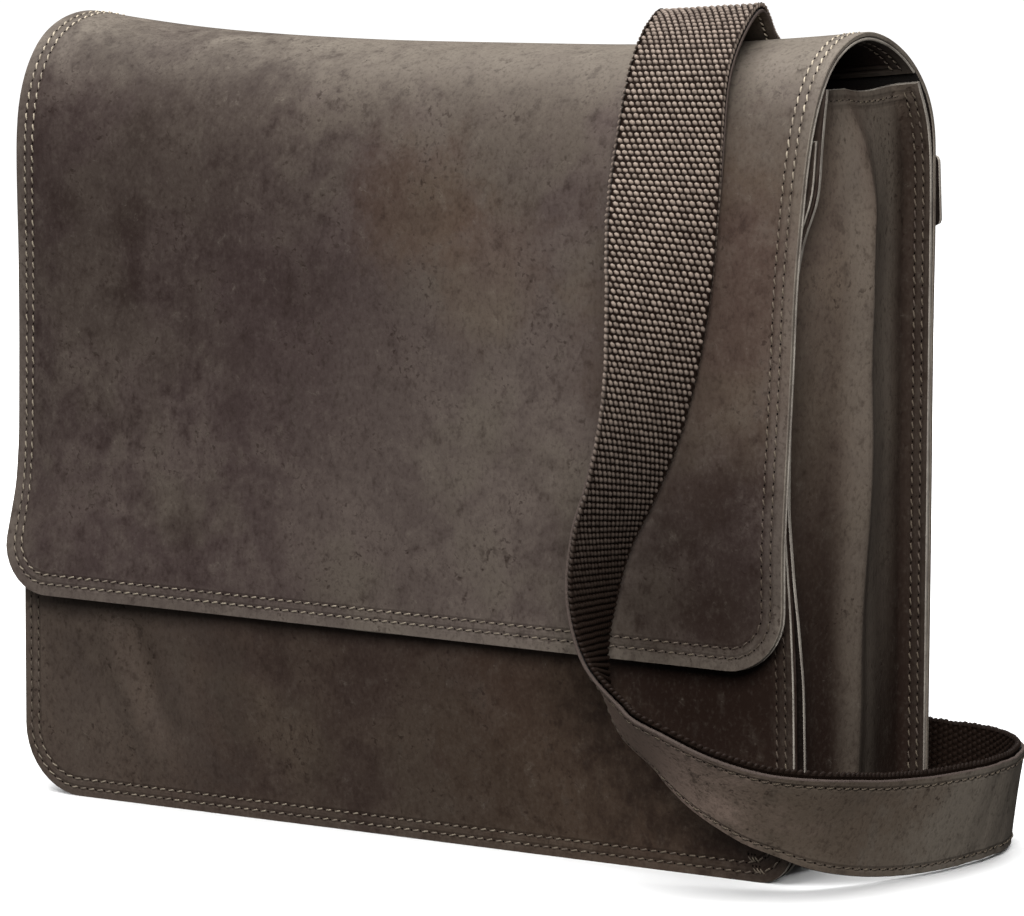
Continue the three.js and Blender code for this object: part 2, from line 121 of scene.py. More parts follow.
STRAP_ROUTE = table(
    "x y z wx wy wz",
    (101.5, 59.75, 262, 1, 0, 0), (101.5, 59.75, 276, 1, 0, 0), (101.8, 59.85, 289, 1, 0, -0.04),
    (104.3, 57.5, 305.5, 0.985, 0.04, -0.16), (109.5, 45.8, 320.3, 0.965, 0.19, -0.18),
    (116.5, 26.5, 330.6, 0.955, 0.27, -0.1), (123.3, 7, 336.2, 0.955, 0.29, 0.02),
    (130.5, -15, 347.3, 0.98, 0.17, 0.08), (134.3, -33.5, 340.5, 0.99, 0.08, 0.02),
    (136.6, -49.5, 324, 0.99, 0.08, 0), (139, -61, 294, 0.97, 0.26, -0.01),
    (143, -72.5, 266, 0.83, 0.56, -0.05), (146, -82, 231, 0.57, 0.81, -0.14),
    (145, -86.2, 204, 0.38, 0.9, -0.2), (141.5, -89, 182, 0.24, 0.94, -0.24),
    (135, -91.7, 159, 0.08, 0.96, -0.26), (127.5, -93.2, 139, -0.03, 0.97, -0.26),
    (124, -95, 116, -0.13, 0.96, -0.26), (127.2, -96.3, 88.4, -0.39, 0.9, -0.14),
    (141, -96.5, 67.6, -0.7, 0.68, -0.09), (159, -95.5, 56, -0.68, 0.63, -0.35),
    (176, -91, 45.3, -0.59, 0.54, -0.6), (194.5, -82, 36.5, -0.43, 0.45, -0.78),
    (209.5, -69, 31.5, -0.31, 0.39, -0.87), (219.5, -47.5, 26.2, -0.22, 0.33, -0.92),
    (227.5, -22, 23.3, -0.17, 0.31, -0.935), (233.5, 2, 22.6, -0.18, 0.29, -0.94),
    (237, 26, 22.8, -0.23, 0.28, -0.93), (235.5, 49, 23, -0.24, 0.23, -0.94),
    (227, 70, 23, -0.2, 0.12, -0.97), (209, 86, 23.2, -0.1, 0.04, -0.99),
    (183, 90, 23.4, 0, 0, -1), (142, 87, 26, -0.16, 0, -0.99), (95, 82, 38.5, -0.37, 0, -0.93),
    (45, 78, 66, -0.57, 0, -0.82), (0, 76, 106, -0.72, 0, -0.69),
    (-42, 75.5, 157, -0.81, 0, -0.59), (-77, 76.5, 214, -0.9, 0, -0.44),
    (-98, 79.5, 271, -0.98, 0, -0.2), (-101.5, 78.8, 298, -1, 0, 0),
    (-101.5, 69.5, 308.5, -1, 0, 0), (-101.5, 61.2, 300.5, -1, 0, 0),
    (-101.5, 59.75, 289, -1, 0, 0), (-101.5, 59.75, 276, -1, 0, 0), (-101.5, 59.75, 262, -1, 0, 0))
LOOP_POINT = 655
CREASES = (((-137, 80), (-115, 28), 7, 2.7), ((-60, 92), (-52, 40), 13, 1.2),
           ((60, 95), (86, 40), 15, 1.3))
TAB_HEIGHTS = (258, 288)
TAB_SECTION = table(
    "x lift",
    (70, 0.3), (73.5, 0.3), (78.6, 5.5), (101.5, 6), (124.4, 5.5), (131, 0.3), (197.5, 0.3))


# ---------------------------------------------------------------- curves and surfaces

def smoothstep(value, low, high):
    t = np.clip((value - low) / (high - low), 0, 1)
    return t * t * (3 - 2 * t)


def lerp(a, b, share):
    return a + (b - a) * share


def eased(place, places, values, reach):
    """A row of values read at a place, with the corners between them rounded."""
    before, here, after = (np.interp(place + shift, places, values) for shift in (-reach, 0, reach))
    return (before + 2 * here + after) / 4


def at_height(rows, z, column):
    """A table's column at a height."""
    return eased(z, rows["z"], rows[column], HEIGHT_EASE)


def spline(knots, steps):
    """Points of a centripetal Catmull-Rom curve through knots, steps to each stretch."""
    knots = np.asarray(knots, float)
    run = np.vstack([2 * knots[0] - knots[1], knots, 2 * knots[-1] - knots[-2]])
    share = (np.arange(steps) / steps)[:, None]
    points = []
    for p0, p1, p2, p3 in zip(run, run[1:], run[2:], run[3:]):
        gaps = [np.linalg.norm(b - a) ** 0.5 for a, b in ((p0, p1), (p1, p2), (p2, p3))]
        middle = gaps[1] if gaps[1] > 1e-4 else 1.0
        first = gaps[0] if gaps[0] > 1e-4 else middle
        last = gaps[2] if gaps[2] > 1e-4 else middle
        leave = (p1 - p0) / first - (p2 - p0) / (first + middle) + (p2 - p1) / middle
        arrive = (p2 - p1) / middle - (p3 - p1) / (middle + last) + (p3 - p2) / last
        leave, arrive = leave * middle, arrive * middle
        points.append(p1 + leave * share + (3 * (p2 - p1) - 2 * leave - arrive) * share ** 2
                      + (2 * (p1 - p2) + leave + arrive) * share ** 3)
    return np.vstack([*points, knots[-1:]])


class Course:
    """Columns of values along a curve, read by the length run along it."""

    def __init__(self, places, *columns):
        steps = np.linalg.norm(np.diff(places, axis=0), axis=1)
        self.run = np.concatenate([[0], np.cumsum(steps)])
        self.total = self.run[-1]
        self.values = np.hstack([places, *columns])

    def at(self, run):
        return np.stack([np.interp(run, self.run, column) for column in self.values.T], -1)


def unit(vectors):
    return vectors / np.maximum(np.linalg.norm(vectors, axis=-1, keepdims=True), 1e-9)


def path_length(points):
    return float(np.linalg.norm(np.diff(points, axis=0), axis=1).sum())


def corner_inset(distance, radius):
    """How far a rounded corner stands in, at a distance from the sheet's end."""
    rest = np.clip(radius - distance, 0, radius)
    return radius - np.sqrt(radius ** 2 - rest ** 2)


def settle(points):
    """The give of the standing bag, alike for every ply so that they stay apart.

    The right front corner is trodden out to a smaller radius where the bag stands on it.
    """
    x, y, z = np.moveaxis(points, -1, 0)
    as_cut = corner_inset(z, PANEL_CORNER)
    reach = smoothstep(x, 120, HALF - as_cut) * (1 - smoothstep(y, -44, -8))
    x = x + (as_cut - corner_inset(z, TRODDEN_CORNER)) * reach
    across = np.clip(x / HALF, -1, 1)
    dip = TOP_DIP * (1 - np.abs(across) ** 2.5)
    skew = TOP_SKEW * across * smoothstep(z, 230, 320) * (1 - smoothstep(y, -40, 30))
    return np.stack([x, y + skew, z - dip * smoothstep(z, 240, 335)], -1)


def draw_in(x, y, z):
    """How far the right front seam is drawn in under the flap, less towards the back."""
    reach = smoothstep(x, 60, HALF - 6) * (1 - smoothstep(y, -48, 12))
    return at_height(WAIST, z, "draw") * reach


def swell(ply, across, up):
    """How far a sheet stands out, falling to nothing where across or up reaches 1."""
    return SWELL[ply] * np.maximum(1 - across ** 2, 0) * np.maximum(1 - up ** 2, 0)


def ripple(x, run):
    """Slow waves that use has left in the leather."""
    return (0.55 * np.sin(x / 38 + 1.1) * np.sin(run / 53 + 0.4)
            + 0.4 * np.sin(x / 71 - run / 47 + 2.0) + 0.25 * np.sin(x / 19 + run / 31))


FLAP = Course(spline(np.stack([FLAP_PROFILE["y"], FLAP_PROFILE["z"]], -1), FLAP_STEPS))
LINING_START = float(np.interp(-40, -FLAP.values[:, 0], FLAP.run))


def flap_half(run):
    return lerp(PANEL_WIDTH, FLAP_WIDTH, smoothstep(run / FLAP.total, 0.3, 0.6)) / 2


def flap_ply(x, run, depth):
    """The back, the roll and the flap in one length, from the back's bottom edge."""
    y, z = np.moveaxis(FLAP.at(run), -1, 0)
    along = unit(FLAP.at(run + TANGENT_STEP) - FLAP.at(run - TANGENT_STEP))
    share = x / flap_half(run)
    front = y < 0
    turn, lower, curl = (np.where(front, at_height(FLAP_HANG, z, column), 0)
                         for column in ("turn", "lower", "curl"))
    curl = np.where(share > 0, 0.3, 1) * (curl * smoothstep(np.abs(share), 0.86, 1))
    back_swell = np.where(front, 0, swell("back", share, (z - 118) / 112))
    flat_at_tabs = np.where(front, 1, smoothstep(np.abs(z - np.mean(TAB_HEIGHTS)), 20, 45))
    out = ripple(x, run) * (0.35 + 0.65 * smoothstep(run, 480, 640)) * flat_at_tabs - depth
    y = y - turn * share + curl + along[..., 1] * out + back_swell
    z = z - lower * share - along[..., 0] * out
    return settle(np.stack(np.broadcast_arrays(x, y, z), -1))


def front_ply(x, z, depth, ply):
    """A front sheet standing in one of the seam's plies."""
    y = at_height(SEAM, z, ply) - swell(ply, x / 181, (z - 112) / 104) + depth
    if ply == "panel":
        y = y + dents(x, z)
    return settle(np.stack(np.broadcast_arrays(x - draw_in(x, y, z), y, z), -1))


def dents(x, z):
    """Soft creases pressed into the front panel under the flap's edge."""
    sunk = np.zeros(np.broadcast(x, z).shape)
    for (x0, z0), (x1, z1), width, depth in CREASES:
        along = np.array([x1 - x0, z1 - z0])
        length = np.hypot(*along)
        along = along / length
        run = (x - x0) * along[0] + (z - z0) * along[1]
        off = (x - x0) * along[1] - (z - z0) * along[0]
        reach = smoothstep(run, -0.3 * length, 0.25 * length)
        reach = reach * (1 - smoothstep(run, 0.7 * length, 1.25 * length))
        sunk += depth * reach * (np.exp(-(off / width) ** 2)
                                 - 0.8 * np.exp(-((off - 1.5 * width) / width) ** 2))
    return sunk


GUSSET_STRAIGHT = WALL_TOP - PANEL_CORNER
GUSSET_ARC = PANEL_CORNER * math.pi / 2
GUSSET_LENGTH = 2 * (GUSSET_STRAIGHT + GUSSET_ARC + HALF - PANEL_CORNER)
SECTION_END = len(GUSSET_SECTION["depth"]) - 1


def gusset_edge(run):
    """Places round the panels' edge from the top right, and how far each is of the bottom."""
    near = np.minimum(run, GUSSET_LENGTH - run)
    side = np.where(run <= GUSSET_LENGTH / 2, 1, -1)
    turn = np.clip((near - GUSSET_STRAIGHT) / PANEL_CORNER, 0, math.pi / 2)
    bottom = np.maximum(near - GUSSET_STRAIGHT - GUSSET_ARC, 0)
    out_x, out_z = np.cos(turn), -np.sin(turn)
    x = HALF - PANEL_CORNER + PANEL_CORNER * out_x - bottom
    z = np.maximum(WALL_TOP - near, PANEL_CORNER) + PANEL_CORNER * out_z
    return side * x, z, side * out_x, out_z, smoothstep(turn, 0, math.pi / 2)


def section(place, column):
    """A column of the gusset's section with its folds rounded."""
    return eased(place, np.arange(SECTION_END + 1), GUSSET_SECTION[column], FOLD_EASE)


def gusset_face(run, place):
    """The gusset's grain side, by the run along it and the place across its section."""
    x, z, out_x, out_z, base = gusset_edge(run)
    ridge = lerp(at_height(GUSSET_SIDE, z, "ridge"), 0, base)
    curl = lerp(at_height(GUSSET_SIDE, z, "curl"), 0, base)
    front = at_height(SEAM, z, "wall") + PLY["wall"] + GAP + PLY["gusset"]
    back = at_height(SEAM, z, "back")
    depth, flange = section(place, "depth"), section(place, "flange")
    fold = lerp(section(place, "side"), section(place, "base"), base)
    inset = FLANGE_WIDTH * (1 - flange) + (ridge - FLANGE_WIDTH) * fold
    wave = 0.8 * np.sin(run / 17 + 3 * depth) * np.sin(math.pi * np.clip(depth, 0, 1)) * (1 - base)
    y = lerp(front, back, depth) + np.where(depth < 0.5, curl * flange * (1.6 - 0.6 * flange), 0)
    drop = section(place, "drop") * smoothstep(z, 295, WALL_TOP)
    inset = inset + wave * (1 - flange)
    x, z = x - out_x * inset, z - out_z * inset - drop
    return settle(np.stack(np.broadcast_arrays(x - draw_in(x, y, z), y, z), -1))


def gusset_ply(run, place, depth):
    """The gusset, with its flesh side on the inside of the bag."""
    step = 0.04
    face = gusset_face(run, place)
    along = gusset_face(run + 1, place) - gusset_face(run - 1, place)
    across = gusset_face(run, place + step) - gusset_face(run, place - step)
    return face - unit(np.cross(along, across)) * np.asarray(depth)[..., None]


def strap_course():
    """Places along the strap, with the directions across it and out of its webbing side."""
    route, width = (spline(np.stack([STRAP_ROUTE[c] for c in columns], -1), STRAP_STEPS)
                    for columns in (("x", "y", "z"), ("wx", "wy", "wz")))
    along = unit(np.gradient(route, axis=0))
    across = unit(width - along * np.sum(width * along, axis=1, keepdims=True))
    return Course(route, across, unit(np.cross(along, across)))


STRAP = strap_course()
LOOP_RUN = float(STRAP.run[LOOP_POINT])


def strap_at(across, run, height):
    """A point of the strap, by its place across, the run along it and the webbing side's height."""
    values = STRAP.at(run)
    lift = np.asarray(height)[..., None] * unit(values[..., 6:9])
    return values[..., 0:3] + np.asarray(across)[..., None] * unit(values[..., 3:6]) + lift


def strap_stand(across, run, height):
    """A point of the strap and the direction along it."""
    after, before = (strap_at(across, run + step, height)
                     for step in (TANGENT_STEP, -TANGENT_STEP))
    return strap_at(across, run, height), unit(after - before)


def strap_ply(across, run, depth):
    """The strap's leather strip, from its outer face, creased where the loop turns sharply."""
    bend = np.exp(-((run - LOOP_RUN) / 22) ** 2)
    crease = 0.45 * bend * np.sin(run / 1.9 + across / 14) * np.sin(run / 4.7 + 1.0)
    return strap_at(across, run, STRAP_FACE + depth - crease)


def tab_ply(x, z, depth):
    """A tab on the back, from its outer face; the strap's end lies under its raised part."""
    lift = sum(np.interp(np.abs(x) + shift, TAB_SECTION["x"], TAB_SECTION["lift"])
               for shift in (-1.5, 0, 1.5)) / 3
    y = FLAP_PROFILE["y"][0] + np.maximum(lift, 0.3) + PLY["tab"] - depth
    return np.stack(np.broadcast_arrays(x, y, z), -1)


# ---------------------------------------------------------------- meshes

EDGE_STEPS = np.array([0, 1.3, 2.7, 4.3, 6.2, 8.4, 11, 14.5])
EDGE_BEVEL = 0.35


def graded(length, step):
    """Distances across a sheet, closer together near its two cut edges."""
    inner = np.linspace(EDGE_STEPS[-1], length - EDGE_STEPS[-1], max(2, round(length / step)))
    return np.concatenate([EDGE_STEPS, inner[1:-1], length - EDGE_STEPS[::-1]])


def round_end(radius, steps):
    """Distances from a rounded end, even round its corners."""
    return radius * (1 - np.cos(np.linspace(0, math.pi / 2, steps + 1)))


def new_object(name, points, faces, finishes, which=None, sharp=38, **values):
    """A mesh object in metres, smooth between its sharp edges, with float values on its points."""
    mesh = bpy.data.meshes.new(name)
    mesh.from_pydata((np.asarray(points) * MM).tolist(), [], faces)
    for finish in finishes:
        mesh.materials.append(finish)
    if which is not None:
        mesh.polygons.foreach_set("material_index", np.asarray(which, np.int32))
    for key, value in values.items():
        attribute = mesh.attributes.new(key, "FLOAT", "POINT")
        attribute.data.foreach_set("value", np.asarray(value, np.float32))
    work = bmesh.new()
    work.from_mesh(mesh)
    bmesh.ops.recalc_face_normals(work, faces=work.faces)
    work.to_mesh(mesh)
    work.free()
    mesh.shade_smooth()
    mesh.set_sharp_from_angle(angle=math.radians(sharp))
    obj = bpy.data.objects.new(name, mesh)
    bpy.context.scene.collection.objects.link(obj)
    return obj


def grid_faces(rows, columns):
    """The points of a grid by row and column, its quads, and the points round its rim."""
    ids = np.arange(rows * columns).reshape(rows, columns)
    quads = np.stack([ids[:-1, :-1], ids[1:, :-1], ids[1:, 1:], ids[:-1, 1:]], -1).reshape(-1, 4)
    return ids, quads, np.concatenate([ids[0], ids[1:, -1], ids[-1, -2::-1], ids[-2:0:-1, 0]])


def wall_faces(first, second):
    """Quads between two closed rows of points."""
    return np.stack([first, np.roll(first, -1), np.roll(second, -1), second], -1)


def ring_faces(sides, rings):
    """Quads between rings of points that follow one another."""
    rows = np.arange(sides * rings).reshape(rings, sides)
    return [tuple(face) for a, b in zip(rows, rows[1:]) for face in wall_faces(a, b).tolist()]


def sheet_object(name, face, back, edge_mm, finishes):
    """A closed sheet with bevelled cut edges; finishes are its face, cut edge and flesh side."""
    rows, columns = face.shape[:2]
    ids, quads, rim = grid_faces(rows, columns)
    inside = ids[1:-1, 1:-1][np.clip(rim // columns - 1, 0, rows - 3),
                             np.clip(rim % columns - 1, 0, columns - 3)]
    outer, inner = face.reshape(-1, 3).copy(), back.reshape(-1, 3).copy()
    through = unit(inner[rim] - outer[rim]) * EDGE_BEVEL
    near, far = outer[rim] + through, inner[rim] - through
    inward = unit(outer[inside] - outer[rim]) * EDGE_BEVEL
    outer[rim] += inward
    inner[rim] += inward
    count, loop = len(outer), len(rim)
    rings = [rim, 2 * count + np.arange(loop), 2 * count + loop + np.arange(loop), rim + count]
    faces = np.vstack([quads, quads[:, ::-1] + count, *map(wall_faces, rings, rings[1:])])
    which = np.concatenate([np.zeros(len(quads)), np.full(len(quads), 2), np.ones(3 * loop)])
    points = np.vstack([outer, inner, near, far])
    edge = np.concatenate([edge_mm.ravel(), edge_mm.ravel(), np.zeros(2 * loop)])
    return new_object(name, points, faces.tolist(), finishes, which, edge_mm=edge)


def edge_distance(x, run, half, total, corners):
    """How far a place lies in from a sheet's cut edge; corners are the radii at its two ends."""
    beside = half - np.abs(x)
    result = np.full(np.broadcast(x, run).shape, 1e3)
    for radius, end in zip(corners, (run, total - run)):
        in_corner = (beside < radius) & (end < radius)
        round_off = radius - np.hypot(radius - beside, radius - end)
        result = np.minimum(result, np.where(in_corner, round_off, np.minimum(beside, end)))
    return result


def sewn_outline(half, start, end, inset, corners, open_end=None):
    """A line at an inset from a sheet's outline, in even points; one end can be left open."""
    side = half - inset
    turns = []
    for way, radius, place in ((1, corners[0], start), (-1, corners[1], end)):
        r = max(radius - inset, 1)
        turn = np.linspace(0, math.pi / 2, 12)
        x = side - r + r * np.cos(turn)
        y = place + way * (inset + r - r * np.sin(turn))
        right, left = np.stack([x, y], -1), np.stack([-x, y], -1)[::-1]
        turns.append(np.vstack([right, left])[::way])
    first, last = turns
    if open_end == end:
        return densify([(side, end), *first, (-side, end)])
    if open_end == start:
        return densify([(-side, start), *last, (side, start)])
    return densify([*first, *last, first[0]])


def densify(path, step=1.5):
    """Even points along a path, about a step apart."""
    course = Course(np.asarray(path, float))
    return course.at(np.linspace(0, course.total, max(2, int(course.total / step))))


def sewing_line(ply, path, pitch):
    """Even stitch places along a path on a ply: middle, direction along, across and up."""
    surface = Course(ply(*path.T, np.zeros(len(path))), path)
    count = max(1, round(surface.total / pitch))
    runs = (np.arange(count) + 0.5) * surface.total / count
    middle, before, after = (surface.at(runs + shift)[:, 3:] for shift in (0, -1.2, 1.2))
    flat = np.zeros(count)
    place = ply(*middle.T, flat)
    along = unit(ply(*after.T, flat) - ply(*before.T, flat))
    up = unit(place - ply(*middle.T, flat + 1))
    return place, along, unit(np.cross(up, along)), up


def repeat(template, faces, lines, sizes=None):
    """Copies of a small shape, its (along, across, up) points set at every place."""
    place, along, across, up = lines
    sizes = np.ones((len(place), 3)) if sizes is None else sizes
    local = template[None] * sizes[:, None]
    points = (place[:, None] + local[..., 0:1] * along[:, None] + local[..., 1:2] * across[:, None]
              + local[..., 2:3] * up[:, None])
    shift = np.arange(len(place)) * len(template)
    moved = [(np.asarray(f)[None] + shift[:, None]).tolist() for f in faces]
    return points.reshape(-1, 3), [face for copies in moved for face in copies]


def thread_shape(length, width):
    """One stitch: a short round thread that dips into its holes at both ends."""
    sides = 6
    rings = ((-0.5, -0.55, 0.6), (-0.36, 0.05, 0.9), (0, 0.32, 1), (0.36, 0.05, 0.9),
             (0.5, -0.55, 0.6))
    turn = np.arange(sides) * 2 * math.pi / sides
    points = [(along * length, 0.5 * width * size * math.cos(t),
               width * (rise + 0.5 * size * math.sin(t)))
              for along, rise, size in rings for t in turn]
    last = len(points)
    return np.array(points), [*ring_faces(sides, len(rings)), tuple(range(sides)),
                              tuple(range(last - sides, last))]


def hole_shape(length, width):
    """A dark disc of painted shade for the depth of a needle hole, lying just proud of the leather.
    """
    turn = np.arange(8) * math.pi / 4
    ring = np.stack([0.5 * length * np.cos(turn), 0.5 * width * np.sin(turn), 0 * turn], -1)
    points = np.vstack([ring + (0, 0, -0.25), 0.8 * ring + (0, 0, 0.07)])
    return points, ring_faces(8, 2) + [tuple(range(8)), tuple(range(8, 16))]


def float_shape(slant=0.35):
    """One float of yarn: a six-sided dome, slanted as the yarn crosses the strip."""
    turn = np.arange(6) * math.pi / 3
    ring = np.stack([np.cos(turn), np.sin(turn) + slant * np.cos(turn), 0 * turn], -1)
    points = np.vstack([ring, 0.68 * ring + (0, 0, 0.74), [(0, 0, 1)]])
    cap = [(6 + k, 6 + (k + 1) % 6, 12) for k in range(6)]
    return points, ring_faces(6, 2) + cap + [tuple(range(6))]


HOLE_SIZE = (1.15, 0.9)
STITCH_LEAN = 0.26


def sew(name, lines, finishes, sizes):
    """Threads and needle holes along sewing lines, as one piece."""
    rng = np.random.default_rng(SEED)
    place, along, across, up = (np.vstack(parts) for parts in zip(*lines))
    count = len(place)
    lean = rng.normal(STITCH_LEAN, 0.06, count)[:, None]
    turned = unit(along + lean * across)
    aside = unit(np.cross(up, turned))
    scale = np.stack([rng.normal(1, spread, count) for spread in (0.06, 0.07, 0.1)], -1)
    thread, thread_faces = thread_shape(sizes.stitch_length / MM, sizes.thread_width / MM)
    points, faces = repeat(thread, thread_faces, (place, turned, aside, up), scale)
    tone = np.repeat(rng.uniform(0, 1, count), len(thread))
    shifted = place + along * (0.5 * sizes.stitch_pitch / MM)
    dark_points, dark_faces = repeat(*hole_shape(*HOLE_SIZE), (shifted, along, across, up))
    which = [0] * len(faces) + [1] * len(dark_faces)
    faces += [[k + len(points) for k in face] for face in dark_faces]
    obj = new_object(name, np.vstack([points, dark_points]), faces, finishes, which, sharp=80,
                     tone=np.concatenate([tone, np.zeros(len(dark_points))]))
    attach(obj, "root")
    return obj


# ---------------------------------------------------------------- finishes

class Value:
    """A node's output socket that takes part in Python expressions."""

    def __init__(self, finish, socket):
        self.finish, self.socket = finish, socket

    def _math(self, operation, first, second):
        return self.finish.node("ShaderNodeMath", {0: first, 1: second}, operation=operation)

    def __add__(self, other):
        return self._math("ADD", self, other)

    def __sub__(self, other):
        return self._math("SUBTRACT", self, other)

    def __rsub__(self, other):
        return self._math("SUBTRACT", other, self)

    def __mul__(self, other):
        return self._math("MULTIPLY", self, other)

    def __abs__(self):
        return self.finish.node("ShaderNodeMath", {0: self}, operation="ABSOLUTE")

    __radd__, __rmul__ = __add__, __mul__

    def between(self, low, high):
        """0 below low and 1 above high, eased; falls instead where low is above high."""
        rising = low < high
        ends = {1: min(low, high), 2: max(low, high), 3: 0.0 if rising else 1.0,
                4: 1.0 if rising else 0.0}
        return self.finish.node("ShaderNodeMapRange", {0: self, **ends},
                                interpolation_type="SMOOTHSTEP")


class Finish:
    """A material under construction, with one principled shader."""

    def __init__(self, name, **constants):
        self.material = bpy.data.materials.new(name)
        self.material.use_nodes = True
        self.tree = self.material.node_tree
        self.shader = next(n for n in self.tree.nodes if n.type == "BSDF_PRINCIPLED")
        for key, value in constants.items():
            self.shader.inputs[key.replace("_", " ")].default_value = value

    def node(self, kind, inputs=None, output=0, **settings):
        made = self.tree.nodes.new(kind)
        for key, value in settings.items():
            setattr(made, key, value)
        for key, value in (inputs or {}).items():
            if isinstance(value, Value):
                self.tree.links.new(value.socket, made.inputs[key])
            else:
                made.inputs[key].default_value = value
        return Value(self, made.outputs[output])

    def place(self):
        return self.node("ShaderNodeTexCoord", output="Object")

    def along_axis(self, place, axis):
        return self.node("ShaderNodeSeparateXYZ", {0: place}, axis)

    def on_points(self, name):
        return self.node("ShaderNodeAttribute", output="Fac", attribute_name=name)

    def noise(self, place, scale, detail=3.0, roughness=0.55, distortion=0.0):
        return self.node("ShaderNodeTexNoise", {"Vector": place, "Scale": scale, "Detail": detail,
                                                "Roughness": roughness, "Distortion": distortion})

    def stretched(self, place, turn, sizes):
        return self.node("ShaderNodeMapping", {"Vector": place, "Rotation": turn, "Scale": sizes})

    def mix(self, first, *layers):
        """Colours laid over a first one, each by its own share."""
        def colour(value):
            return value if isinstance(value, Value) else (*value[:3], 1.0)
        for layer, share in layers:
            first = self.node("ShaderNodeMix", {0: share, 6: colour(first), 7: colour(layer)}, 2,
                              data_type="RGBA")
        return first

    def done(self, colour, roughness, height, strength, distance):
        links = self.tree.links
        bump = self.node("ShaderNodeBump", {"Height": height, "Strength": strength,
                                            "Distance": distance})
        links.new(colour.socket, self.shader.inputs["Base Color"])
        links.new(roughness.socket, self.shader.inputs["Roughness"])
        links.new(bump.socket, self.shader.inputs["Normal"])
        return self.material


def leather_face(look, name, bloom=1.0, sewn=(), shade=0.0, patches=(), margin=0.35,
                 pale=0.0, low_dark=0.0, back_dark=0.0, warm=0.0):
    """Oiled leather's grain side: clouds, patches, specks, hair scratches and rubbed edges.

    Shade above 0 makes it darker. Patches are (centre, radius, colour, strength), in metres.
    Bloom and top light is how far the roll at the top is paler: partly rubbed pale where it bends,
    partly a painted highlight of the light from above. Margin is how far the leather outside the
    sewing is rubbed pale, and pale how far all of it. Painted low shade is painted shade towards
    the ground; painted back shade is painted shade towards the back of a folded side, which also
    gets painted shade in its front fold, painted light just behind its ridge and a pale line on
    the ridge, partly rubbed and partly a painted highlight. Warm is how far the dye is browner.
    """
    f = Finish(name, IOR=1.45, Specular_IOR_Level=0.14)
    place = f.place()
    edge = f.on_points("edge_mm")
    up = f.along_axis(place, "Z")
    broad = f.noise(place, 7.0, 3.0, 0.6, 0.3)
    cloud = f.noise(place, 34.0, 5.0, 0.68, 0.5)
    fleck = f.noise(f.stretched(place, (0, 0, 0), (1, 1, 0.85)), 135.0, 4.0, 0.7)
    fibre = f.noise(f.stretched(place, (0.1, 0.05, 0), (1, 1, 0.7)), 640.0, 2.0, 0.6)
    dark, light = look.leather_dark, look.leather_pale

    tone = broad * 0.30 + cloud * 0.48 + fleck * 0.22
    olive = (broad * 0.55 + f.noise(place, 19.0, 3.0, 0.6) * 0.45).between(0.46, 0.56)
    colour = f.mix(look.leather_plum,
                   (look.leather, tone.between(0.39 + shade, 0.60 + shade)),
                   (look.leather_olive, olive * 0.6),
                   (look.leather_rust, cloud * (2.0 * warm)),
                   (light, cloud * (2.0 * pale)))
    # Painted shade: darker towards the ground.
    low = up.between(0.21, 0.03) * low_dark
    # In a folded side: painted shade in the front fold and towards the back, painted light just
    # behind the ridge, where the painted shade low down is eased, and a pale line on the ridge,
    # partly rubbed and partly a painted highlight.
    if back_dark:
        back = f.along_axis(place, "Y")
        front_fold = back.between(-0.007, -0.020) * up.between(0.27, 0.08)
        low = low * (1.0 - abs(back - 0.006).between(0.028, 0.010) * 0.56)
        colour = f.mix(colour, (dark, front_fold * 0.86),
                       (light, abs(back + 0.004).between(0.012, 0.001) * 0.30),
                       (light, abs(back - 0.027).between(0.022, 0.008) * 0.36),
                       (dark, back.between(0.037, 0.052) * back_dark))
    # The top roll is paler: partly rubbed pale where it bends, partly a painted highlight of the
    # light from above.
    worn = up.between(0.300, 0.343) * bloom * (0.22 + cloud * 1.05)
    colour = f.mix(colour, (dark, low), (light, worn))

    ragged = (cloud - 0.5) * 2.4 + (fleck - 0.5) * 0.9
    for centre, radius, key, strength in patches:
        away = f.node("ShaderNodeVectorMath", {0: place, 1: centre}, "Value", operation="DISTANCE")
        reach = (away + ragged * (0.55 * radius)).between(radius, 0.3 * radius)
        colour = f.mix(colour, (getattr(look, key), reach * strength))

    speck = f.noise(place, 430.0, 2.0, 0.5, 0.3).between(0.57, 0.72) * cloud.between(0.46, 0.62)
    smudge = fleck.between(0.56, 0.68) * cloud.between(0.50, 0.63)
    wander = f.noise(f.stretched(place, (0.3, 0.2, 0.5), (1, 0.5, 1.5)), 85.0, 2.0, 0.5, 1.2)
    scratch = abs(wander - 0.5).between(0.009, 0.002) * fleck.between(0.56, 0.66)
    colour = f.mix(colour,
                   (light, edge.between(12.0, 1.0) * margin * (0.35 + cloud * 0.8)),
                   (light, fleck.between(0.52, 0.74) * 0.08),
                   (dark, fleck.between(0.47, 0.28) * 0.42),
                   (light, fibre.between(0.50, 0.76) * 0.07),
                   (dark, fibre.between(0.50, 0.28) * 0.30),
                   (dark, speck * 0.62), (dark, smudge * 0.5), (light, scratch * 0.2))
    height = fibre * 0.55 + fleck * 0.5 + cloud * 0.35 - speck * 0.3
    # Each sewing line sinks into a groove that is darkened with painted shade.
    for line in sewn:
        groove = abs(edge - line).between(1.5, 0.3)
        height = height - groove * 0.9
        colour = f.mix(colour, (dark, groove * 0.22))
    return f.done(colour, 0.60 + fleck * 0.22 - worn * 0.05, height, 0.5, 0.0006)


def cut_edge(look, name, fresh):
    """Fibres of a cut edge, left pale or stained with the leather's dye; the dark cut edge is
    painted shade.
    """
    f = Finish(name, IOR=1.45, Specular_IOR_Level=0.2)
    place = f.place()
    fibre = f.noise(place, 900.0, 2.0, 0.7)
    stain = f.noise(place, 55.0, 3.0, 0.6)
    colour = f.mix(fresh, (look.leather, stain.between(0.38, 0.70) * 0.5),
                   (look.leather_dark, fibre.between(0.5, 0.75) * 0.35))
    return f.done(colour, 0.8 + fibre * 0.15, fibre, 0.6, 0.0004)


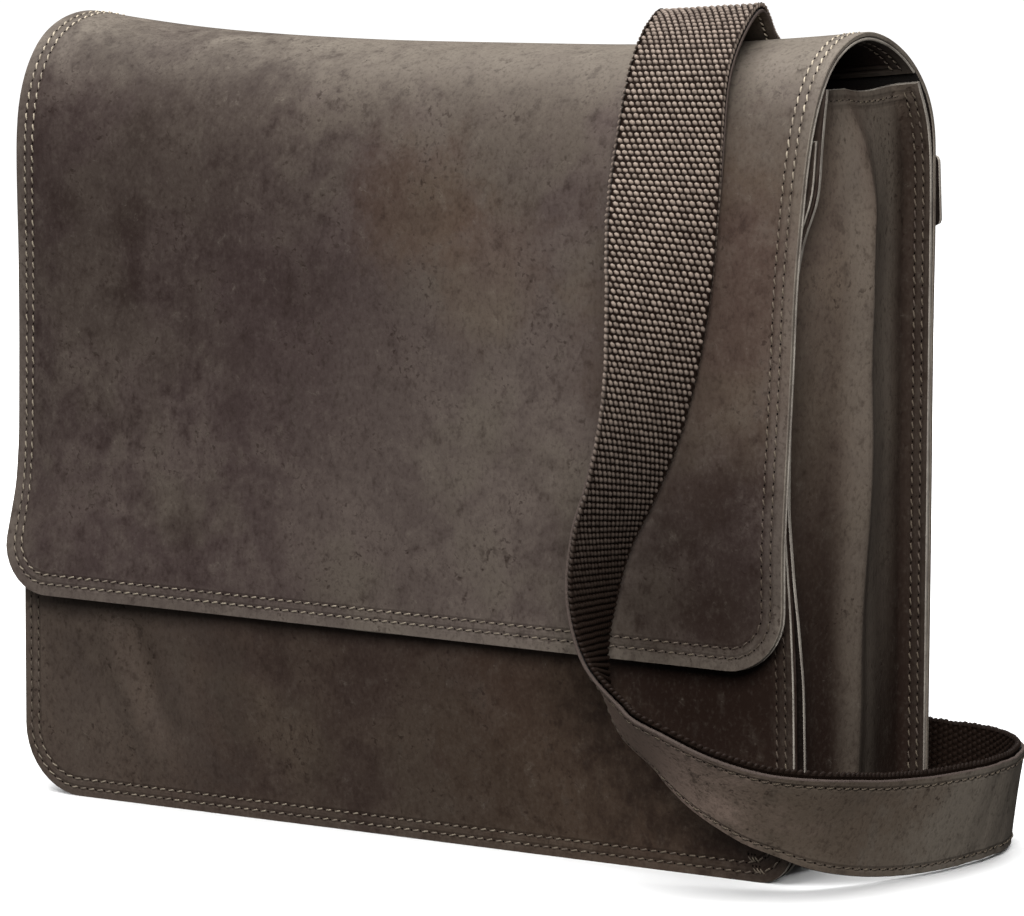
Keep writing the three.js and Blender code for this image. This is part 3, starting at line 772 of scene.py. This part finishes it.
def flesh_side(look, name):
    """The leather's napped inner side, dark of itself and deepened to near black with painted
    shade.
    """
    f = Finish(name, IOR=1.4, Specular_IOR_Level=0.15, Sheen_Weight=0.04)
    place = f.place()
    nap = f.noise(place, 700.0, 4.0, 0.75)
    cloud = f.noise(place, 30.0, 4.0, 0.6)
    colour = f.mix(look.lining, (look.leather_dark, cloud.between(0.35, 0.7) * 0.4),
                   (look.leather, nap.between(0.45, 0.7) * 0.1))
    return f.done(colour, 0.86 + nap * 0.1, nap + cloud * 0.3, 0.6, 0.0005)


def thread_finish(look, name):
    """Twisted thread, some stitches paler than others, darker down the front's two sides."""
    f = Finish(name, IOR=1.45, Specular_IOR_Level=0.3)
    place = f.place()
    tone = f.on_points("tone")
    strand = f.noise(place, 1500.0, 2.0, 0.6)
    aside, up = f.along_axis(place, "X"), f.along_axis(place, "Z")
    worn = up.between(0.335, 0.26) * (0.72 + aside.between(-0.02, 0.14) * 0.28)
    right = aside.between(0.145, 0.185) * up.between(0.20, 0.11) * up.between(0.045, 0.06)
    left = aside.between(-0.174, -0.184) * up.between(0.091, 0.084) * up.between(0.012, 0.030)
    colour = f.mix(look.thread, (look.thread_worn, worn), (look.leather_dark, (right + left) * 0.6),
                   (look.leather, tone.between(0.2, 1.0) * 0.5),
                   (look.leather_dark, strand.between(0.5, 0.8) * 0.35))
    return f.done(colour, 0.62 + strand * 0.2, strand, 0.5, 0.0003)


def stained_thread(look, name):
    """Thread that has taken up the leather's dye all over."""
    f = Finish(name, IOR=1.45, Specular_IOR_Level=0.3)
    strand = f.noise(f.place(), 1500.0, 2.0, 0.6)
    colour = f.mix(look.thread_worn, (look.leather, f.on_points("tone").between(0.2, 1.0) * 0.8),
                   (look.leather_dark, strand.between(0.5, 0.8) * 0.35))
    return f.done(colour, 0.62 + strand * 0.2, strand, 0.5, 0.0003)


def hole_finish(look, name):
    """Painted shade for the depth of a needle hole."""
    f = Finish(name, IOR=1.3, Specular_IOR_Level=0.05)
    shade = f.noise(f.place(), 800.0, 2.0)
    colour = f.mix(look.hole, (look.leather_dark, shade.between(0.4, 0.9) * 0.25))
    return f.done(colour, 0.85 + shade * 0.1, shade, 0.3, 0.0002)


def yarn_finish(look, name):
    """Ribbed yarn of the woven strip, with painted shade low on the bag and painted light and shade
    on each float, pale on its crown and dark down its sides and lower end; each float has its own
    tone.
    """
    f = Finish(name, IOR=1.5, Specular_IOR_Level=0.10)
    place = f.place()
    tone = f.on_points("tone")
    crown = f.on_points("crown")
    strand = f.noise(place, 1400.0, 2.0, 0.6)
    # Painted shade: the yarn turns darker low on the bag.
    high = f.along_axis(place, "Z").between(0.10, 0.25)
    yarn = f.mix(look.webbing_worn, (look.webbing, high * (1.0 - tone.between(0.4, 1.0) * 0.35)))
    # Painted light and shade on each float: pale on its crown, core-dark down its sides and lower
    # end.
    colour = f.mix(look.webbing_core, (yarn, crown.between(0.0, 0.9)),
                   (look.webbing_core, strand.between(0.48, 0.75) * 0.35))
    return f.done(colour, 0.42 + strand * 0.2, strand, 0.5, 0.0003)


def core_finish(look, name):
    """The woven strip's depth, seen between its floats: dark yarn deepened with painted shade."""
    f = Finish(name, IOR=1.4, Specular_IOR_Level=0.1)
    strand = f.noise(f.place(), 900.0, 3.0, 0.7)
    colour = f.mix(look.webbing_core, (look.leather_dark, strand.between(0.35, 0.7) * 0.6))
    return f.done(colour, 0.85 + strand * 0.1, strand, 0.6, 0.0004)


MAKERS = {
    "pale cut edge": lambda look, name: cut_edge(look, name, look.raw_edge),
    "dyed cut edge": lambda look, name: cut_edge(look, name, look.leather_pale),
    "worn cut edge": lambda look, name: cut_edge(look, name, look.leather),
    # Painted shade: the dark cut edge stands for the shadowed gap between the front plies.
    "dark cut edge": lambda look, name: cut_edge(look, name, look.leather_dark),
    "flesh side": flesh_side,
    "sewing thread": thread_finish,
    "stained thread": stained_thread,
    "needle hole": hole_finish,
    "webbing yarn": yarn_finish,
    "webbing core": core_finish,
}


def finish(look, name):
    """A finish made once and shared."""
    return bpy.data.materials.get(name) or MAKERS[name](look, name)


# ---------------------------------------------------------------- what a user would change

def length_property(name, description, default, low, high):
    return FloatProperty(name=name, description=description, default=default, min=low, max=high,
                         unit="LENGTH", precision=5)


def colour_property(name, description, default):
    return FloatVectorProperty(name=name, description=description, default=default, size=3,
                               min=0, max=1, subtype="COLOR")


class BagColours(bpy.types.PropertyGroup):
    """Colours of the bag's finishes."""
    leather: colour_property("Leather", "Main tone of the leather", (0.06, 0.046, 0.0398))
    # Dark leather also paints shade: the shadow patches, the shade low down, in the gusset's fold
    # and towards its back, in the stitch grooves, on the lining and on the wall's cut edge.
    leather_dark: colour_property("Dark leather", "Clouds, pores and creases",
                                  (0.012, 0.0069, 0.0052))
    leather_plum: colour_property("Plum leather", "Purple clouds and marks in the dye",
                                  (0.0315, 0.0215, 0.02))
    # Pale leather also paints light: the highlight on the top roll and the gusset's ridge, the
    # light just behind that ridge and the strap's light patch.
    leather_pale: colour_property("Pale leather", "Bloom where the leather is bent and rubbed",
                                  (0.142, 0.122, 0.1))
    leather_olive: colour_property("Olive leather", "Greener clouds in the dye",
                                   (0.0575, 0.047, 0.0365))
    leather_rust: colour_property("Rust patches", "Warm patches in the dye", (0.06, 0.0355, 0.0205))
    # Painted light on the strap's twist, a face that the lamps light weakly.
    leather_rubbed: colour_property("Rubbed leather", "Where the strap turns over",
                                    (0.235, 0.172, 0.14))
    raw_edge: colour_property("Cut edge", "Fibres of a cut edge", (0.245, 0.22, 0.19))
    # The flesh side is darkened to near black as painted shade, for the inside of the roll and the
    # gaps between the plies.
    lining: colour_property("Flesh side", "Napped inner side", (0.0045, 0.0031, 0.0024))
    # Painted shade for the depth of a needle hole.
    hole: colour_property("Needle hole", "Depth of a needle hole", (0.004, 0.003, 0.0025))
    thread: colour_property("Thread", "Sewing thread", (0.4, 0.345, 0.265))
    thread_worn: colour_property("Worn thread", "Thread that has taken up dye",
                                 (0.092, 0.074, 0.055))
    webbing: colour_property("Webbing yarn", "Woven strip of the strap", (0.196, 0.155, 0.128))
    # Painted shade for the yarn low on the bag.
    webbing_worn: colour_property("Worn yarn", "Darker yarn low on the webbing",
                                  (0.0105, 0.0064, 0.0047))
    # Partly painted shade: the depth of the weave between the floats.
    webbing_core: colour_property("Webbing core", "Depth of the weave", (0.008, 0.005, 0.0037))
    floor: colour_property("Floor", "Studio floor", (0.7, 0.7, 0.7))


class BagSizes(bpy.types.PropertyGroup):
    """Sizes of the sewing and the weave."""
    stitch_pitch: length_property("Stitch pitch", "From one stitch to the next",
                                  0.0046, 0.003, 0.01)
    stitch_length: length_property("Stitch length", "Thread showing in one stitch",
                                   0.0032, 0.001, 0.008)
    thread_width: length_property("Thread width", "Thickness of the thread",
                                  0.00072, 0.0004, 0.002)
    weave_across: length_property("Weave across", "From one yarn to the next",
                                  0.00266, 0.0015, 0.006)
    weave_along: length_property("Weave along", "From one row of the weave to the next",
                                 0.00257, 0.0015, 0.006)


class BagOperator:
    """What the operators share."""
    bl_options = {"REGISTER", "UNDO"}

    @property
    def look(self):
        return bpy.context.scene.bag_colours

    @property
    def sizes(self):
        return bpy.context.scene.bag_sizes

    def declare(self, obj, node, slot, flat, held, with_pieces=()):
        """Attaches a sheet to the root and hides the CAD node that it stands for."""
        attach(obj, "root")
        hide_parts(node)
        [side * MM for side in flat]

    def finishes(self, *names):
        return [finish(self.look, name) for name in names]

    def leather(self, name, edge="pale cut edge", **options):
        return [leather_face(self.look, name, **options), *self.finishes(edge, "flesh side")]

    def line(self, ply, path):
        return sewing_line(ply, path, self.sizes.stitch_pitch / MM)

    def sewing(self, node, lines, thread="sewing thread"):
        return sew("sewing_" + node, lines, self.finishes(thread, "needle hole"), self.sizes)


# ---------------------------------------------------------------- pieces

FLAP_SEAMS = (5.0, 9.0)
PANEL_SEAMS = (3.6, 7.6)


def patches(key, *rows):
    """Patches of one colour, by their x, y, z, radius and strength."""
    return tuple(((x, y, z), radius, key, strength) for x, y, z, radius, strength in rows)


FLAP_PATCHES = (
    *patches(
        "leather_plum", (-0.12, -0.05, 0.24, 0.14, 0.4), (-0.0715, -0.06, 0.2225, 0.034, 0.75),
        (-0.04, -0.06, 0.225, 0.1, 0.6), (-0.16, -0.07, 0.125, 0.06, 0.35),
        (0.178, -0.06, 0.125, 0.05, 0.6)),
    *patches(
        "leather_rust", (0.014, -0.06, 0.268, 0.042, 0.36), (0.05, -0.06, 0.24, 0.04, 0.24),
        (0.165, -0.06, 0.23, 0.09, 0.3)),
    *patches("leather_pale", (0.06, -0.06, 0.15, 0.13, 0.13)),
    *patches(
        "leather_dark", (-0.132, -0.06, 0.2516, 0.017, 0.46), (-0.1321, -0.06, 0.225, 0.013, 0.38),
        (-0.1684, -0.06, 0.2608, 0.014, 0.4), (-0.1311, -0.05, 0.29, 0.015, 0.32),
        (-0.1008, -0.07, 0.1234, 0.013, 0.36), (-0.042, -0.06, 0.232, 0.024, 0.22),
        (0.011, -0.06, 0.273, 0.03, 0.2), (0.163, -0.06, 0.108, 0.024, 0.55),
        (0.1445, -0.06, 0.1345, 0.018, 0.45), (0.171, -0.06, 0.155, 0.022, 0.4),
        (-0.145, -0.04, 0.27, 0.135, 0.34), (0.155, -0.065, 0.13, 0.085, 0.38),
        (0.168, -0.065, 0.112, 0.06, 0.4)),
)
# Painted shade: darkens the whole lining, as the inside of the roll is in shade.
LINING_PATCHES = patches("leather_dark", (0, 0, 0.3, 1.0, 0.85))
# Painted shadow: the last four dark patches, under the flap's edge beside the strap, down the right
# side, at the trodden corner and high up under the flap.
PANEL_PATCHES = (
    *patches("leather_rust", (0.12, -0.06, 0.05, 0.12, 0.35)),
    *patches("leather_pale", (-0.165, -0.06, 0.06, 0.1, 0.14)),
    *patches(
        "leather_dark", (0.02, -0.06, 0.06, 0.14, 0.26), (0.12, -0.06, 0.055, 0.11, 0.3),
        (0.135, -0.06, 0.09, 0.06, 0.8), (0.18, -0.06, 0.075, 0.1, 0.95),
        (0.185, -0.06, 0.008, 0.04, 0.7), (0.19, -0.05, 0.285, 0.07, 0.85)),
)
# Both patches are painted light, on faces of the strap that the lamps light weakly: the loop's
# right side and the twist.
STRAP_PATCHES = (
    *patches("leather_pale", (0.237, 0.03, 0.02, 0.08, 0.8)),
    *patches("leather_rubbed", (0.146, -0.092, 0.058, 0.075, 0.9)),
)


class BAG_OT_flap(BagOperator, bpy.types.Operator):
    """Make the back and flap, the lining under the flap, and their sewing"""
    bl_idname = "bag.flap"
    bl_label = "Back and flap"

    def execute(self, context):
        total = FLAP.total
        rows = np.concatenate([
            round_end(PANEL_CORNER, 10), np.arange(36, 290, 6), np.arange(290, total - 215, 2.5),
            np.arange(total - 212, total - FLAP_CORNER - 2, 4.5),
            total - round_end(FLAP_CORNER, 9)[::-1]])
        corners = (PANEL_CORNER, FLAP_CORNER)
        run, share = np.meshgrid(rows, graded(FLAP_WIDTH, 4.5) / FLAP_WIDTH * 2 - 1, indexing="ij")
        full = flap_half(run)
        x = share * (full - corner_inset(run, PANEL_CORNER)
                     - corner_inset(total - run, FLAP_CORNER))
        edge = edge_distance(x, run, full, total, corners)
        zero = np.zeros_like(x)
        flap = sheet_object("leather_back_and_flap", flap_ply(x, run, zero),
                            flap_ply(x, run, zero + PLY["flap"]), edge,
                            self.leather("flap leather", "dyed cut edge", sewn=FLAP_SEAMS,
                                         patches=FLAP_PATCHES))
        top = PLY["flap"] + GAP
        under = rows >= LINING_START
        x, run, zero, edge = x[under], run[under], zero[under], edge[under]
        # The lining's darker setting and its patch are painted shade inside the roll.
        inside = leather_face(self.look, "lining leather", bloom=0.0, sewn=FLAP_SEAMS, shade=0.16,
                              patches=LINING_PATCHES)
        lining = sheet_object("leather_flap_lining", flap_ply(x, run, zero + top),
                              flap_ply(x, run, zero + top + PLY["lining"]),
                              np.minimum(edge, run - LINING_START),
                              [*self.finishes("flesh side", "pale cut edge"), inside])

        def underside(x, run, depth):
            return flap_ply(x, run, top + PLY["lining"] - depth)
        start = LINING_START + 4
        outside = [self.line(flap_ply, sewn_outline(FLAP_WIDTH / 2, 0, total, inset, corners))
                   for inset in FLAP_SEAMS]
        below = [self.line(underside, sewn_outline(FLAP_WIDTH / 2, start, total, inset, corners,
                                                   start)) for inset in FLAP_SEAMS]
        self.declare(flap, "back_and_flap", "leather", (FLAP_WIDTH, total), "folded",
                     [self.sewing("back_and_flap", outside)])
        self.declare(lining, "flap_lining", "lining", (FLAP_WIDTH, total - LINING_START), "folded",
                     [self.sewing("flap_lining", below, "stained thread")])
        return {"FINISHED"}


BAR_TACKS = (((168.6, 170, 171.4), (2.6, 11.5), 0.4, 4.2), ((187.5, 190.5), (270.5, 276.5), 0.5, 5))


class BAG_OT_front(BagOperator, bpy.types.Operator):
    """Make the front panel, the front wall behind it, and their sewing"""
    bl_idname = "bag.front"
    bl_label = "Front panel and wall"

    def execute(self, context):
        # The wall's dark cut edge is painted shade in the gap between the plies.
        for ply, top, edge_look in (("panel", PANEL_TOP, "pale cut edge"),
                                    ("wall", WALL_TOP, "dark cut edge")):
            def surface(x, z, depth, ply=ply):
                return front_ply(x, z, depth, ply)
            rows = np.concatenate([round_end(PANEL_CORNER, 10),
                                   np.arange(PANEL_CORNER + 4, top - 16, 4.5),
                                   top - EDGE_STEPS[::-1]])
            corners = (PANEL_CORNER, 0.01)
            z, share = np.meshgrid(rows, graded(PANEL_WIDTH, 4.5) / HALF - 1, indexing="ij")
            x = share * (HALF - corner_inset(z, PANEL_CORNER))
            zero = np.zeros_like(x)
            seams = PANEL_SEAMS if ply == "panel" else ()
            # The panel and wall leather carries painted shade towards the ground.
            obj = sheet_object("leather_front_" + ply, surface(x, z, zero),
                               surface(x, z, zero + SEEN_PLY[ply]),
                               edge_distance(x, z, HALF, top, corners),
                               self.leather(ply + " leather", edge_look, bloom=0.0, sewn=seams,
                                            shade=0.03, patches=PANEL_PATCHES, pale=0.07,
                                            margin=0.1, low_dark=0.30, warm=0.3))
            pieces = []
            if seams:
                lines = [self.line(surface, sewn_outline(HALF, 0, top, inset, corners, top))
                         for inset in seams]
                for places, (low, high), lean, pitch in BAR_TACKS:
                    lines += [sewing_line(surface, densify([(at, low), (at + lean, high)]), pitch)
                              for at in places]
                pieces.append(self.sewing("front_panel", lines))
            self.declare(obj, "front_" + ply, "leather", (PANEL_WIDTH, top), "stretched", pieces)
        return {"FINISHED"}


GUSSET_SEAMS = (0.63, 1.36, SECTION_END - 1.36, SECTION_END - 0.63)
GUSSET_HEM = 4.8
MEASURED_AT = 60.0


class BAG_OT_gusset(BagOperator, bpy.types.Operator):
    """Make the gusset down the sides and along the bottom, and its sewing"""
    bl_idname = "bag.gusset"
    bl_label = "Gusset"

    def execute(self, context):
        ends = np.concatenate([EDGE_STEPS, np.arange(18, GUSSET_STRAIGHT - 3, 4)])
        bend = GUSSET_STRAIGHT + np.linspace(0, GUSSET_ARC, 15)
        bottom = np.arange(bend[-1] + 6, GUSSET_LENGTH / 2, 8)
        half = np.concatenate([ends, bend, bottom])
        runs = np.concatenate([half, GUSSET_LENGTH - half[::-1]])
        run, place = np.meshgrid(runs, np.linspace(0, SECTION_END, SECTION_END * 4 + 1),
                                 indexing="ij")
        zero = np.zeros_like(run)
        flange = FLANGE_WIDTH * (1 - section(place, "flange"))
        flange = np.where((place < 3) | (place > SECTION_END - 3), flange, 40)
        edge = np.minimum(np.minimum(run, GUSSET_LENGTH - run), flange)
        # The gusset leather carries painted shade low down, towards the back and in its front fold,
        # and painted light along and behind its ridge.
        obj = sheet_object("leather_gusset", gusset_ply(run, place, zero),
                           gusset_ply(run, place, zero + SEEN_PLY["gusset"]), edge,
                           self.leather("gusset leather", bloom=0.0, sewn=PANEL_SEAMS, shade=-0.08,
                                        pale=0.20, low_dark=0.95, back_dark=0.80, warm=0.45,
                                        margin=0.12))
        lengthwise = np.linspace(3, GUSSET_LENGTH - 3, 700)
        crosswise = np.linspace(1.8, SECTION_END - 1.8, 200)
        paths = [(lengthwise, np.full(700, at)) for at in GUSSET_SEAMS]
        paths += [(np.full(200, at), crosswise) for at in (GUSSET_HEM, GUSSET_LENGTH - GUSSET_HEM)]
        lines = [self.line(gusset_ply, np.stack(path, -1)) for path in paths]
        across = np.linspace(0, SECTION_END, 200)
        face = gusset_ply(np.full(200, MEASURED_AT), across, np.zeros(200))
        self.declare(obj, "gusset", "leather", (path_length(face), GUSSET_LENGTH), "folded",
                     [self.sewing("gusset", lines, "stained thread")])
        return {"FINISHED"}


YARN_HEIGHT = 1.05
KNOT_HEIGHT = 1.15
KNOT_PLACE = 21.3
KNOT_REACH = {-1: 1.7, 1: 0.9}
WEBBING_END = 0.5


class BAG_OT_strap(BagOperator, bpy.types.Operator):
    """Make the shoulder strap's leather strip, its webbing and its sewing"""
    bl_idname = "bag.strap"
    bl_label = "Shoulder strap"

    def execute(self, context):
        runs = np.concatenate([EDGE_STEPS[:4], np.arange(7, STRAP.total - 6, 3.2),
                               STRAP.total - EDGE_STEPS[3::-1]])
        width = 2 * STRAP_HALF
        run, across = np.meshgrid(runs, graded(width, 3.5) - STRAP_HALF, indexing="ij")
        zero = np.zeros_like(run)
        edge = np.minimum(STRAP_HALF - np.abs(across), np.minimum(run, STRAP.total - run))
        strip = sheet_object("leather_strap", strap_ply(across, run, zero),
                             strap_ply(across, run, zero + SEEN_PLY["strap"]), edge,
                             self.leather("strap leather", "worn cut edge", bloom=0.25, sewn=(3.6,),
                                          shade=-0.08, margin=0.15, pale=0.26, warm=0.6,
                                          patches=STRAP_PATCHES))
        path = np.linspace(3, STRAP.total - 3, 900)
        lines = [self.line(strap_ply, np.stack([np.full(900, side), path], -1))
                 for side in (-STRAP_SEAM, STRAP_SEAM)]
        sewing = self.sewing("strap", lines)
        webbing = self.weave()
        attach(webbing, "root")
        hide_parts("strap_webbing")
        self.declare(strip, "strap_leather", "leather", (width, STRAP.total), "draped",
                     [webbing, sewing])
        return {"FINISHED"}

    def weave(self):
        """The woven strip: a dark core under staggered floats of yarn, knotted along its edges."""
        rng = np.random.default_rng(SEED)
        pitch, step = self.sizes.weave_across / MM, self.sizes.weave_along / MM
        rows = np.arange(0.5 * step + WEBBING_END, STRAP.total - WEBBING_END, step)
        count = int(2 * STRAP_HALF / pitch)
        first = -(count - 1) * pitch / 2
        places = [(first + k * pitch + (0.25 if r % 2 else -0.25) * pitch, row)
                  for r, row in enumerate(rows) for k in range(count)]
        side, run = np.array(places).T
        side = side - WEBBING_ASIDE + rng.normal(0, 0.06, len(side))
        run = run + rng.normal(0, 0.06, len(run))
        height = np.full(len(side), YARN_HEIGHT)
        place, along = strap_stand(side, run, height)
        up = unit(strap_at(side, run, height + 1) - place)
        dome, shape = float_shape()
        size = np.array([0.54 * step, 0.50 * pitch, 1.2]) * rng.normal(1, 0.05, (len(side), 3))
        floats, faces = repeat(dome, shape, (place, along, unit(np.cross(up, along)), up), size)
        tone = np.repeat(rng.uniform(0, 1, len(side)), len(dome))
        # Painted light and shade of each float, highest on its crown and lower towards its lower
        # end.
        crown = np.tile(dome[:, 2] * (1 - 0.45 * dome[:, 0]), len(side))
        for edge, reach in KNOT_REACH.items():
            beside = np.full(len(rows), edge * KNOT_PLACE - WEBBING_ASIDE)
            height = np.full(len(rows), KNOT_HEIGHT)
            place, along = strap_stand(beside, rows, height)
            out = unit(strap_at(beside + edge, rows, height) - place)
            size = np.array([0.62 * step, 1.2, reach]) * rng.normal(1, 0.07, (len(rows), 3))
            knots, knot_faces = repeat(dome, shape, (place, along, unit(np.cross(out, along)), out),
                                       size)
            faces += [[k + len(floats) for k in face] for face in knot_faces]
            floats = np.vstack([floats, knots])
            tone = np.concatenate([tone, np.repeat(rng.uniform(0.3, 1, len(rows)), len(dome))])
            # The edge knots' painted light and shade, by height.
            crown = np.concatenate([crown, np.tile(0.8 * dome[:, 2], len(rows))])
        return self.join_weave(floats, faces, tone, crown)

    def join_weave(self, floats, float_faces, tone, crown):
        """The strip's core and its floats as one piece."""
        runs = np.linspace(WEBBING_END, STRAP.total - WEBBING_END, round(STRAP.total / 4))
        across = np.linspace(-STRAP_HALF, STRAP_HALF, 5) - WEBBING_ASIDE
        run, across = np.meshgrid(runs, across, indexing="ij")
        plies = [strap_at(across, run, np.full_like(run, height)) for height in WEBBING_CORE]
        _, quads, rim = grid_faces(*run.shape)
        count = run.size
        core = np.vstack([quads, quads[:, ::-1] + count, wall_faces(rim, rim + count)]).tolist()
        faces = core + [[k + 2 * count for k in face] for face in float_faces]
        points = np.vstack([*(ply.reshape(-1, 3) for ply in plies), floats])
        which = [1] * len(core) + [0] * len(float_faces)
        pad = np.zeros(2 * count)
        return new_object("webbing_strap", points, faces,
                          self.finishes("webbing yarn", "webbing core"), which, sharp=85,
                          tone=np.concatenate([pad, tone]), crown=np.concatenate([pad, crown]))


TAB_SEAM = 3.4
TAB_CORNER = 3.5
TAB_SHORT = (0.6, 1.3)
TAB_BOX_START = 134.5
TAB_ROW = 72


class BAG_OT_tabs(BagOperator, bpy.types.Operator):
    """Make the two tabs on the back that hold the strap's ends, and their sewing"""
    bl_idname = "bag.tabs"
    bl_label = "Strap tabs"

    def execute(self, context):
        low, high = TAB_HEIGHTS
        inner, outer = TAB_SECTION["x"][0], TAB_SECTION["x"][-1]
        face = self.leather("tab leather", bloom=0.0, sewn=(TAB_SEAM,))
        z, reach = np.meshgrid(low + graded(high - low, 3), inner + graded(outer - inner, 2.2),
                               indexing="ij")
        from_end = np.minimum(z - low, high - z)
        short = (corner_inset(from_end, TAB_CORNER)
                 + TAB_SHORT[0] + TAB_SHORT[1] * (z - low) / (high - low))
        reach = inner + (reach - inner) * (1 - short / (outer - inner))
        edge = np.minimum(from_end, np.minimum(reach - inner, outer - reach))
        zero = np.zeros_like(z)
        bottom, top, end = low + TAB_SEAM, high - TAB_SEAM, outer - TAB_SEAM
        box = [(end, bottom), (end, top), (TAB_BOX_START, top), (TAB_BOX_START, bottom),
               (end, bottom)]
        row = [(TAB_ROW, bottom), (TAB_ROW, top)]
        arch = tab_ply(np.linspace(inner, outer, 400), np.full(400, low), np.zeros(400))
        for name, side in (("tab_right", 1), ("tab_left", -1)):
            obj = sheet_object("leather_" + name, tab_ply(side * reach, z, zero),
                               tab_ply(side * reach, z, zero + PLY["tab"]), edge, face)
            lines = [self.line(tab_ply, densify(np.array(path) * (side, 1))) for path in (box, row)]
            self.declare(obj, "strap_" + name, "leather", (high - low, path_length(arch)),
                         "stretched", [self.sewing(name, lines)])
        return {"FINISHED"}


# ---------------------------------------------------------------- stage

CAMERA = {"azimuth": 33.0, "elevation": 6.84, "roll": 0.17, "distance": 2.262,
          "target": (0.024, 0.0, 0.156), "focal_pixels": 5351.0, "frame": 1024}
LIGHTS = (
    ("top light", (-0.15, -0.30, 2.1), (0.0, -0.02, 0.15), 1.9, 88.0, True),
    ("left light", (-1.3, -2.1, 1.15), (0.0, -0.05, 0.17), 1.3, 6.0, True),
    ("right light", (1.25, -2.0, 1.25), (0.1, 0.0, 0.17), 1.0, 92.0, False),
    ("back light", (-0.3, 2.3, 1.25), (0.0, 0.05, 0.17), 1.2, 62.0, False),
    ("side light", (-2.3, 0.5, 0.9), (-0.2, 0.0, 0.17), 1.2, 38.0, False),
)
WORLD_STRENGTH = 0.13
FLOOR_RADII = (600, 3000, 40000)


class BAG_OT_stage(BagOperator, bpy.types.Operator):
    """Set up the floor, the studio light and the camera"""
    bl_idname = "bag.stage"
    bl_label = "Stage"

    def execute(self, context):
        scene = context.scene
        scene.view_settings.view_transform = "Standard"
        self.floor()
        for name, where, target, size, power, gleam in LIGHTS:
            lamp = bpy.data.lights.new(name, "AREA")
            lamp.shape, lamp.size, lamp.energy = "SQUARE", size, power
            obj = bpy.data.objects.new(name, lamp)
            obj.location = where
            facing = Vector(target) - Vector(where)
            obj.rotation_euler = facing.to_track_quat("-Z", "Y").to_euler()
            obj.visible_camera = False
            obj.visible_glossy = gleam
            scene.collection.objects.link(obj)
        world = bpy.data.worlds.new("studio")
        world.use_nodes = True
        background = world.node_tree.nodes["Background"]
        background.inputs["Color"].default_value = (1, 1, 1, 1)
        background.inputs["Strength"].default_value = WORLD_STRENGTH
        scene.world = world
        self.camera(scene)
        return {"FINISHED"}

    def floor(self):
        """A wide pale floor that runs out of sight."""
        sides = 64
        turn = np.linspace(0, 2 * math.pi, sides, endpoint=False)
        ring = np.stack([np.cos(turn), np.sin(turn), 0 * turn], -1)
        points = np.vstack([ring * radius for radius in FLOOR_RADII])
        faces = [tuple(range(sides))] + [face[::-1] for face in ring_faces(sides, len(FLOOR_RADII))]
        f = Finish("studio floor", Specular_IOR_Level=0.1)
        place = f.place()
        paper = f.noise(place, 40.0, 3.0)
        tint = f.mix(self.look.floor, ((0.6, 0.6, 0.6), paper * 0.15))
        away = f.node("ShaderNodeVectorMath", {0: place}, "Value", operation="LENGTH")
        glow = f.mix((0, 0, 0), ((1, 1, 1), away.between(0.45, 1.5)))
        f.tree.links.new(glow.socket, f.shader.inputs["Emission Color"])
        f.shader.inputs["Emission Strength"].default_value = 1.0
        material = f.done(tint, 0.8 + paper * 0.1, paper, 0.02, 0.0002)
        floor = new_object("floor", points, faces, [material])
        floor.visible_diffuse = floor.visible_glossy = False

    def camera(self, scene):
        """The camera that looks at the bag from its front right."""
        azimuth, elevation, roll = (math.radians(CAMERA[angle])
                                    for angle in ("azimuth", "elevation", "roll"))
        back = Vector((math.sin(azimuth) * math.cos(elevation),
                       -math.cos(azimuth) * math.cos(elevation), math.sin(elevation)))
        right = Vector((math.cos(azimuth), math.sin(azimuth), 0))
        up = back.cross(right)
        turned = math.cos(roll) * right + math.sin(roll) * up
        upright = math.cos(roll) * up - math.sin(roll) * right
        lens = bpy.data.cameras.new("camera")
        lens.sensor_fit, lens.sensor_width = "HORIZONTAL", 36.0
        lens.lens = CAMERA["focal_pixels"] / CAMERA["frame"] * lens.sensor_width
        lens.clip_end = 100.0
        obj = bpy.data.objects.new("camera", lens)
        place = Matrix((turned, upright, back)).transposed().to_4x4()
        place.translation = Vector(CAMERA["target"]) + back * CAMERA["distance"]
        obj.matrix_world = place
        scene.collection.objects.link(obj)
        scene.camera = obj


OPERATORS = (BAG_OT_stage, BAG_OT_strap, BAG_OT_flap, BAG_OT_front, BAG_OT_gusset, BAG_OT_tabs)


class BAG_PT_panel(bpy.types.Panel):
    """Lists the bag's pieces, sizes and colours"""
    bl_idname = "BAG_PT_panel"
    bl_label = "Leather laptop bag"
    bl_space_type = "VIEW_3D"
    bl_region_type = "UI"
    bl_category = "Bag"

    def draw(self, context):
        for operator in OPERATORS:
            self.layout.operator(operator.bl_idname)
        for group in (context.scene.bag_sizes, context.scene.bag_colours):
            for key in group.bl_rna.properties.keys():
                if key not in ("rna_type", "name"):
                    self.layout.prop(group, key)


CLASSES = (BagColours, BagSizes, *OPERATORS, BAG_PT_panel)


def register():
    for cls in CLASSES:
        bpy.utils.register_class(cls)
    bpy.types.Scene.bag_colours = PointerProperty(type=BagColours)
    bpy.types.Scene.bag_sizes = PointerProperty(type=BagSizes)


def unregister():
    del bpy.types.Scene.bag_sizes
    del bpy.types.Scene.bag_colours
    for cls in reversed(CLASSES):
        bpy.utils.unregister_class(cls)


def main():
    register()
    bpy.ops.bag.stage()
    bpy.ops.bag.strap()
    bpy.ops.bag.flap()
    bpy.ops.bag.front()
    bpy.ops.bag.gusset()
    bpy.ops.bag.tabs()


if __name__ == "__main__":
    main()
